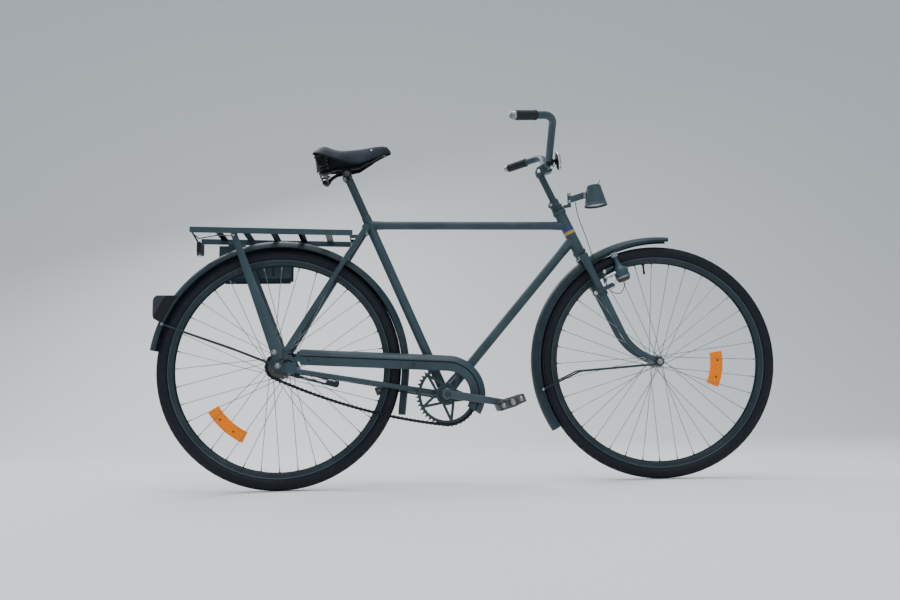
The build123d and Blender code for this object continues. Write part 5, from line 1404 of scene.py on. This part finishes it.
# %% Wheel reflectors
for name, view in WHEELS:
    plate = cad_copy(f"{name}_reflector", view, 1.0, 35)
    span = [v.co.xy.length for v in plate.verts]
    centre = sum((v.co for v in plate.verts), Vector()) / len(plate.verts)
    middle = centre.normalized() * (min(span) + max(span)) / 2
    middle.z = 0
    thick = max(v.co.z for v in plate.verts)
    across_way = middle.normalized().cross(Vector((0, 0, 1)))
    for shift in (-26, 26):
        for side in (1, -1):
            stud(plate, middle + across_way * shift, side * (thick + 1.6), 3.4, 2.6, 16)
    finishes = [amber, black_plastic]
    replaced = [f"{name}_reflector"]
    dress(f"{name}_reflector_amber", plate, f"{name}_wheel", finishes, view, replaced, 35)

# %% [markdown]
# Fasteners: acorn nuts and washers on the axles, and slots in the rear axle's plates.
# Two bands of coloured tape go round the head tube.

# %% Fasteners and bands
REAR_ACORN = ((0, 0), (6.8, 0), (6.8, 1.2), (6.2, 3.6), (4.4, 5.8), (2, 6.9), (0, 7.2))
FRONT_ACORN = ((0, 0), (6.4, 0), (6.2, 2), (4.6, 4.6), (2, 5.8), (0, 6))
fastened = bmesh.new()
for side in (1, -1):
    rod(fastened, (0, 0, side * 67.5), (0, 0, side * 68.8), 12.4, 12.2, 32, 1)
    turned(fastened, (0, 0, side * 74.4), (0, 0, side * 80), REAR_ACORN, 24)
    # Each slot is a thin black plate: painted shade for its dark inside.
    for x, up, long, slope in ((35.7, 34.9, 17, 2), (34, 14, 14, -24)):
        slot_mark(fastened, (x, up, side * 60.1), long, 2, slope)
dress("axle_nuts_rear", fastened, "root", [steel, dark_steel, black_metal], SIDE, (), 35)
nuts = bmesh.new()
for side in (1, -1):
    rod(nuts, (WHEELBASE, 0, side * 56.5), (WHEELBASE, 0, side * 57.6), 11, 10.8, 32, 1)
    turned(nuts, (WHEELBASE, 0, side * 63.4), (WHEELBASE, 0, side * 70), FRONT_ACORN, 24)
dress("axle_nuts_front", nuts, "fork", [steel, dark_steel], FORK, (), 35)

band = bmesh.new()
for low, high, tone in ((403, 412, 0), (412.2, 424, 1)):
    long = (high - low) / cos(HEAD_TILT)
    tape_wall = [(18.0, 0), (18.35, 0), (18.35, long), (18.0, long)]
    turned(band, (head_x(low), low, 0), (head_x(high), high, 0), tape_wall, 48, tone)
tapes = []
for name, color in (("yellow_band", (0.42, 0.26, 0.02)), ("blue_band", (0.012, 0.032, 0.16))):
    tape = Finish(name, color, 0.4)
    worn = tape.ramp(tape.noise(70, 5), 0.5, 0.72, 0, 0.55)
    tape.set("Base Color", tape.mix(worn, color, PAINT))
    tapes.append(tape.material)
dress("head_bands", band, "root", tapes, SIDE, (), 40)

# %% [markdown]
# The floor is a pale sweep that rises behind the bicycle, so there is no horizon.

# %% Floor
GROUND = -1.0165
sweep_mesh = bmesh.new()
bmesh.ops.create_grid(sweep_mesh, x_segments=4, y_segments=60, size=1)
for vertex in sweep_mesh.verts:
    part = (vertex.co.y + 1) / 2
    wide = 14 * vertex.co.x
    if part < 0.5:
        vertex.co = Vector((wide, -8 + 22 * part, GROUND))
        continue
    bend = (part - 0.5) * 2
    vertex.co = Vector((wide, 3 + 4 * sin(bend * pi / 2), GROUND + 9 * (1 - cos(bend * pi / 2))))
floor_data = bpy.data.meshes.new("floor")
sweep_mesh.to_mesh(floor_data)
sweep_mesh.free()
floor = bpy.data.objects.new("floor", floor_data)
bpy.context.scene.collection.objects.link(floor)
for face in floor_data.polygons:
    face.use_smooth = True
pale = Finish("pale_floor", (0.8, 0.8, 0.79), 0.9)
floor_data.materials.append(pale.material)
print("floor at", GROUND, "m")

# %% [markdown]
# A pale sky fills the shadows. Three soft lamps stand behind and above the bicycle and
# in front of it, and all of them aim at its middle.

# %% Light
world = bpy.data.worlds.new("studio")
bpy.context.scene.world = world
world.use_nodes = True
world.node_tree.nodes["Background"].inputs[0].default_value = (0.78, 0.89, 1.0, 1)
world.node_tree.nodes["Background"].inputs[1].default_value = 0.65

LIGHT_AIM = Vector((0.3, 0, -0.5))
# Name, place, width and power of each lamp
LIGHTS = (
    ("key", (-1.5, 3.0, 3.4), 3.5, 170),
    ("front_fill", (1.5, -4.5, 1.6), 3.5, 32),
    ("top", (0.3, -0.6, 3.4), 3.0, 120),
)
for name, place, width, power in LIGHTS:
    light = bpy.data.lights.new(name, "AREA")
    light.size = width
    light.energy = power
    lamp = bpy.data.objects.new(name, light)
    lamp.location = place
    lamp.rotation_euler = (LIGHT_AIM - Vector(place)).to_track_quat("-Z", "Y").to_euler()
    bpy.context.scene.collection.objects.link(lamp)
    print(name, power, "W")

# %% [markdown]
# The camera stands where the photograph was taken from, as measured against the
# wheels. Its focal length, found in pixels of a picture that is 900 wide, is turned
# into millimetres of film.

# %% Camera
CAMERA_SPOT = Vector((0.1268, -2.3152, -0.8169))
CAMERA_AHEAD = Vector((0.0977, 0.9838, 0.1503)).normalized()
CAMERA_UP = Vector((0.0078, -0.1518, 0.9884)).normalized()
FILM = 36
PICTURE_WIDTH = 900
FOCAL_PIXELS = 769.8
FOCAL = FILM * FOCAL_PIXELS / PICTURE_WIDTH
camera_data = bpy.data.cameras.new("camera")
camera_data.sensor_fit = "HORIZONTAL"
camera_data.sensor_width = FILM
camera_data.lens = FOCAL
camera = bpy.data.objects.new("camera", camera_data)
across = CAMERA_AHEAD.cross(CAMERA_UP).normalized()
upward = across.cross(CAMERA_AHEAD)
turned_camera = Matrix((across, upward, -CAMERA_AHEAD)).transposed().to_4x4()
camera.matrix_world = Matrix.Translation(CAMERA_SPOT) @ turned_camera
bpy.context.scene.collection.objects.link(camera)
bpy.context.scene.camera = camera
print("lens", round(FOCAL, 2), "mm")
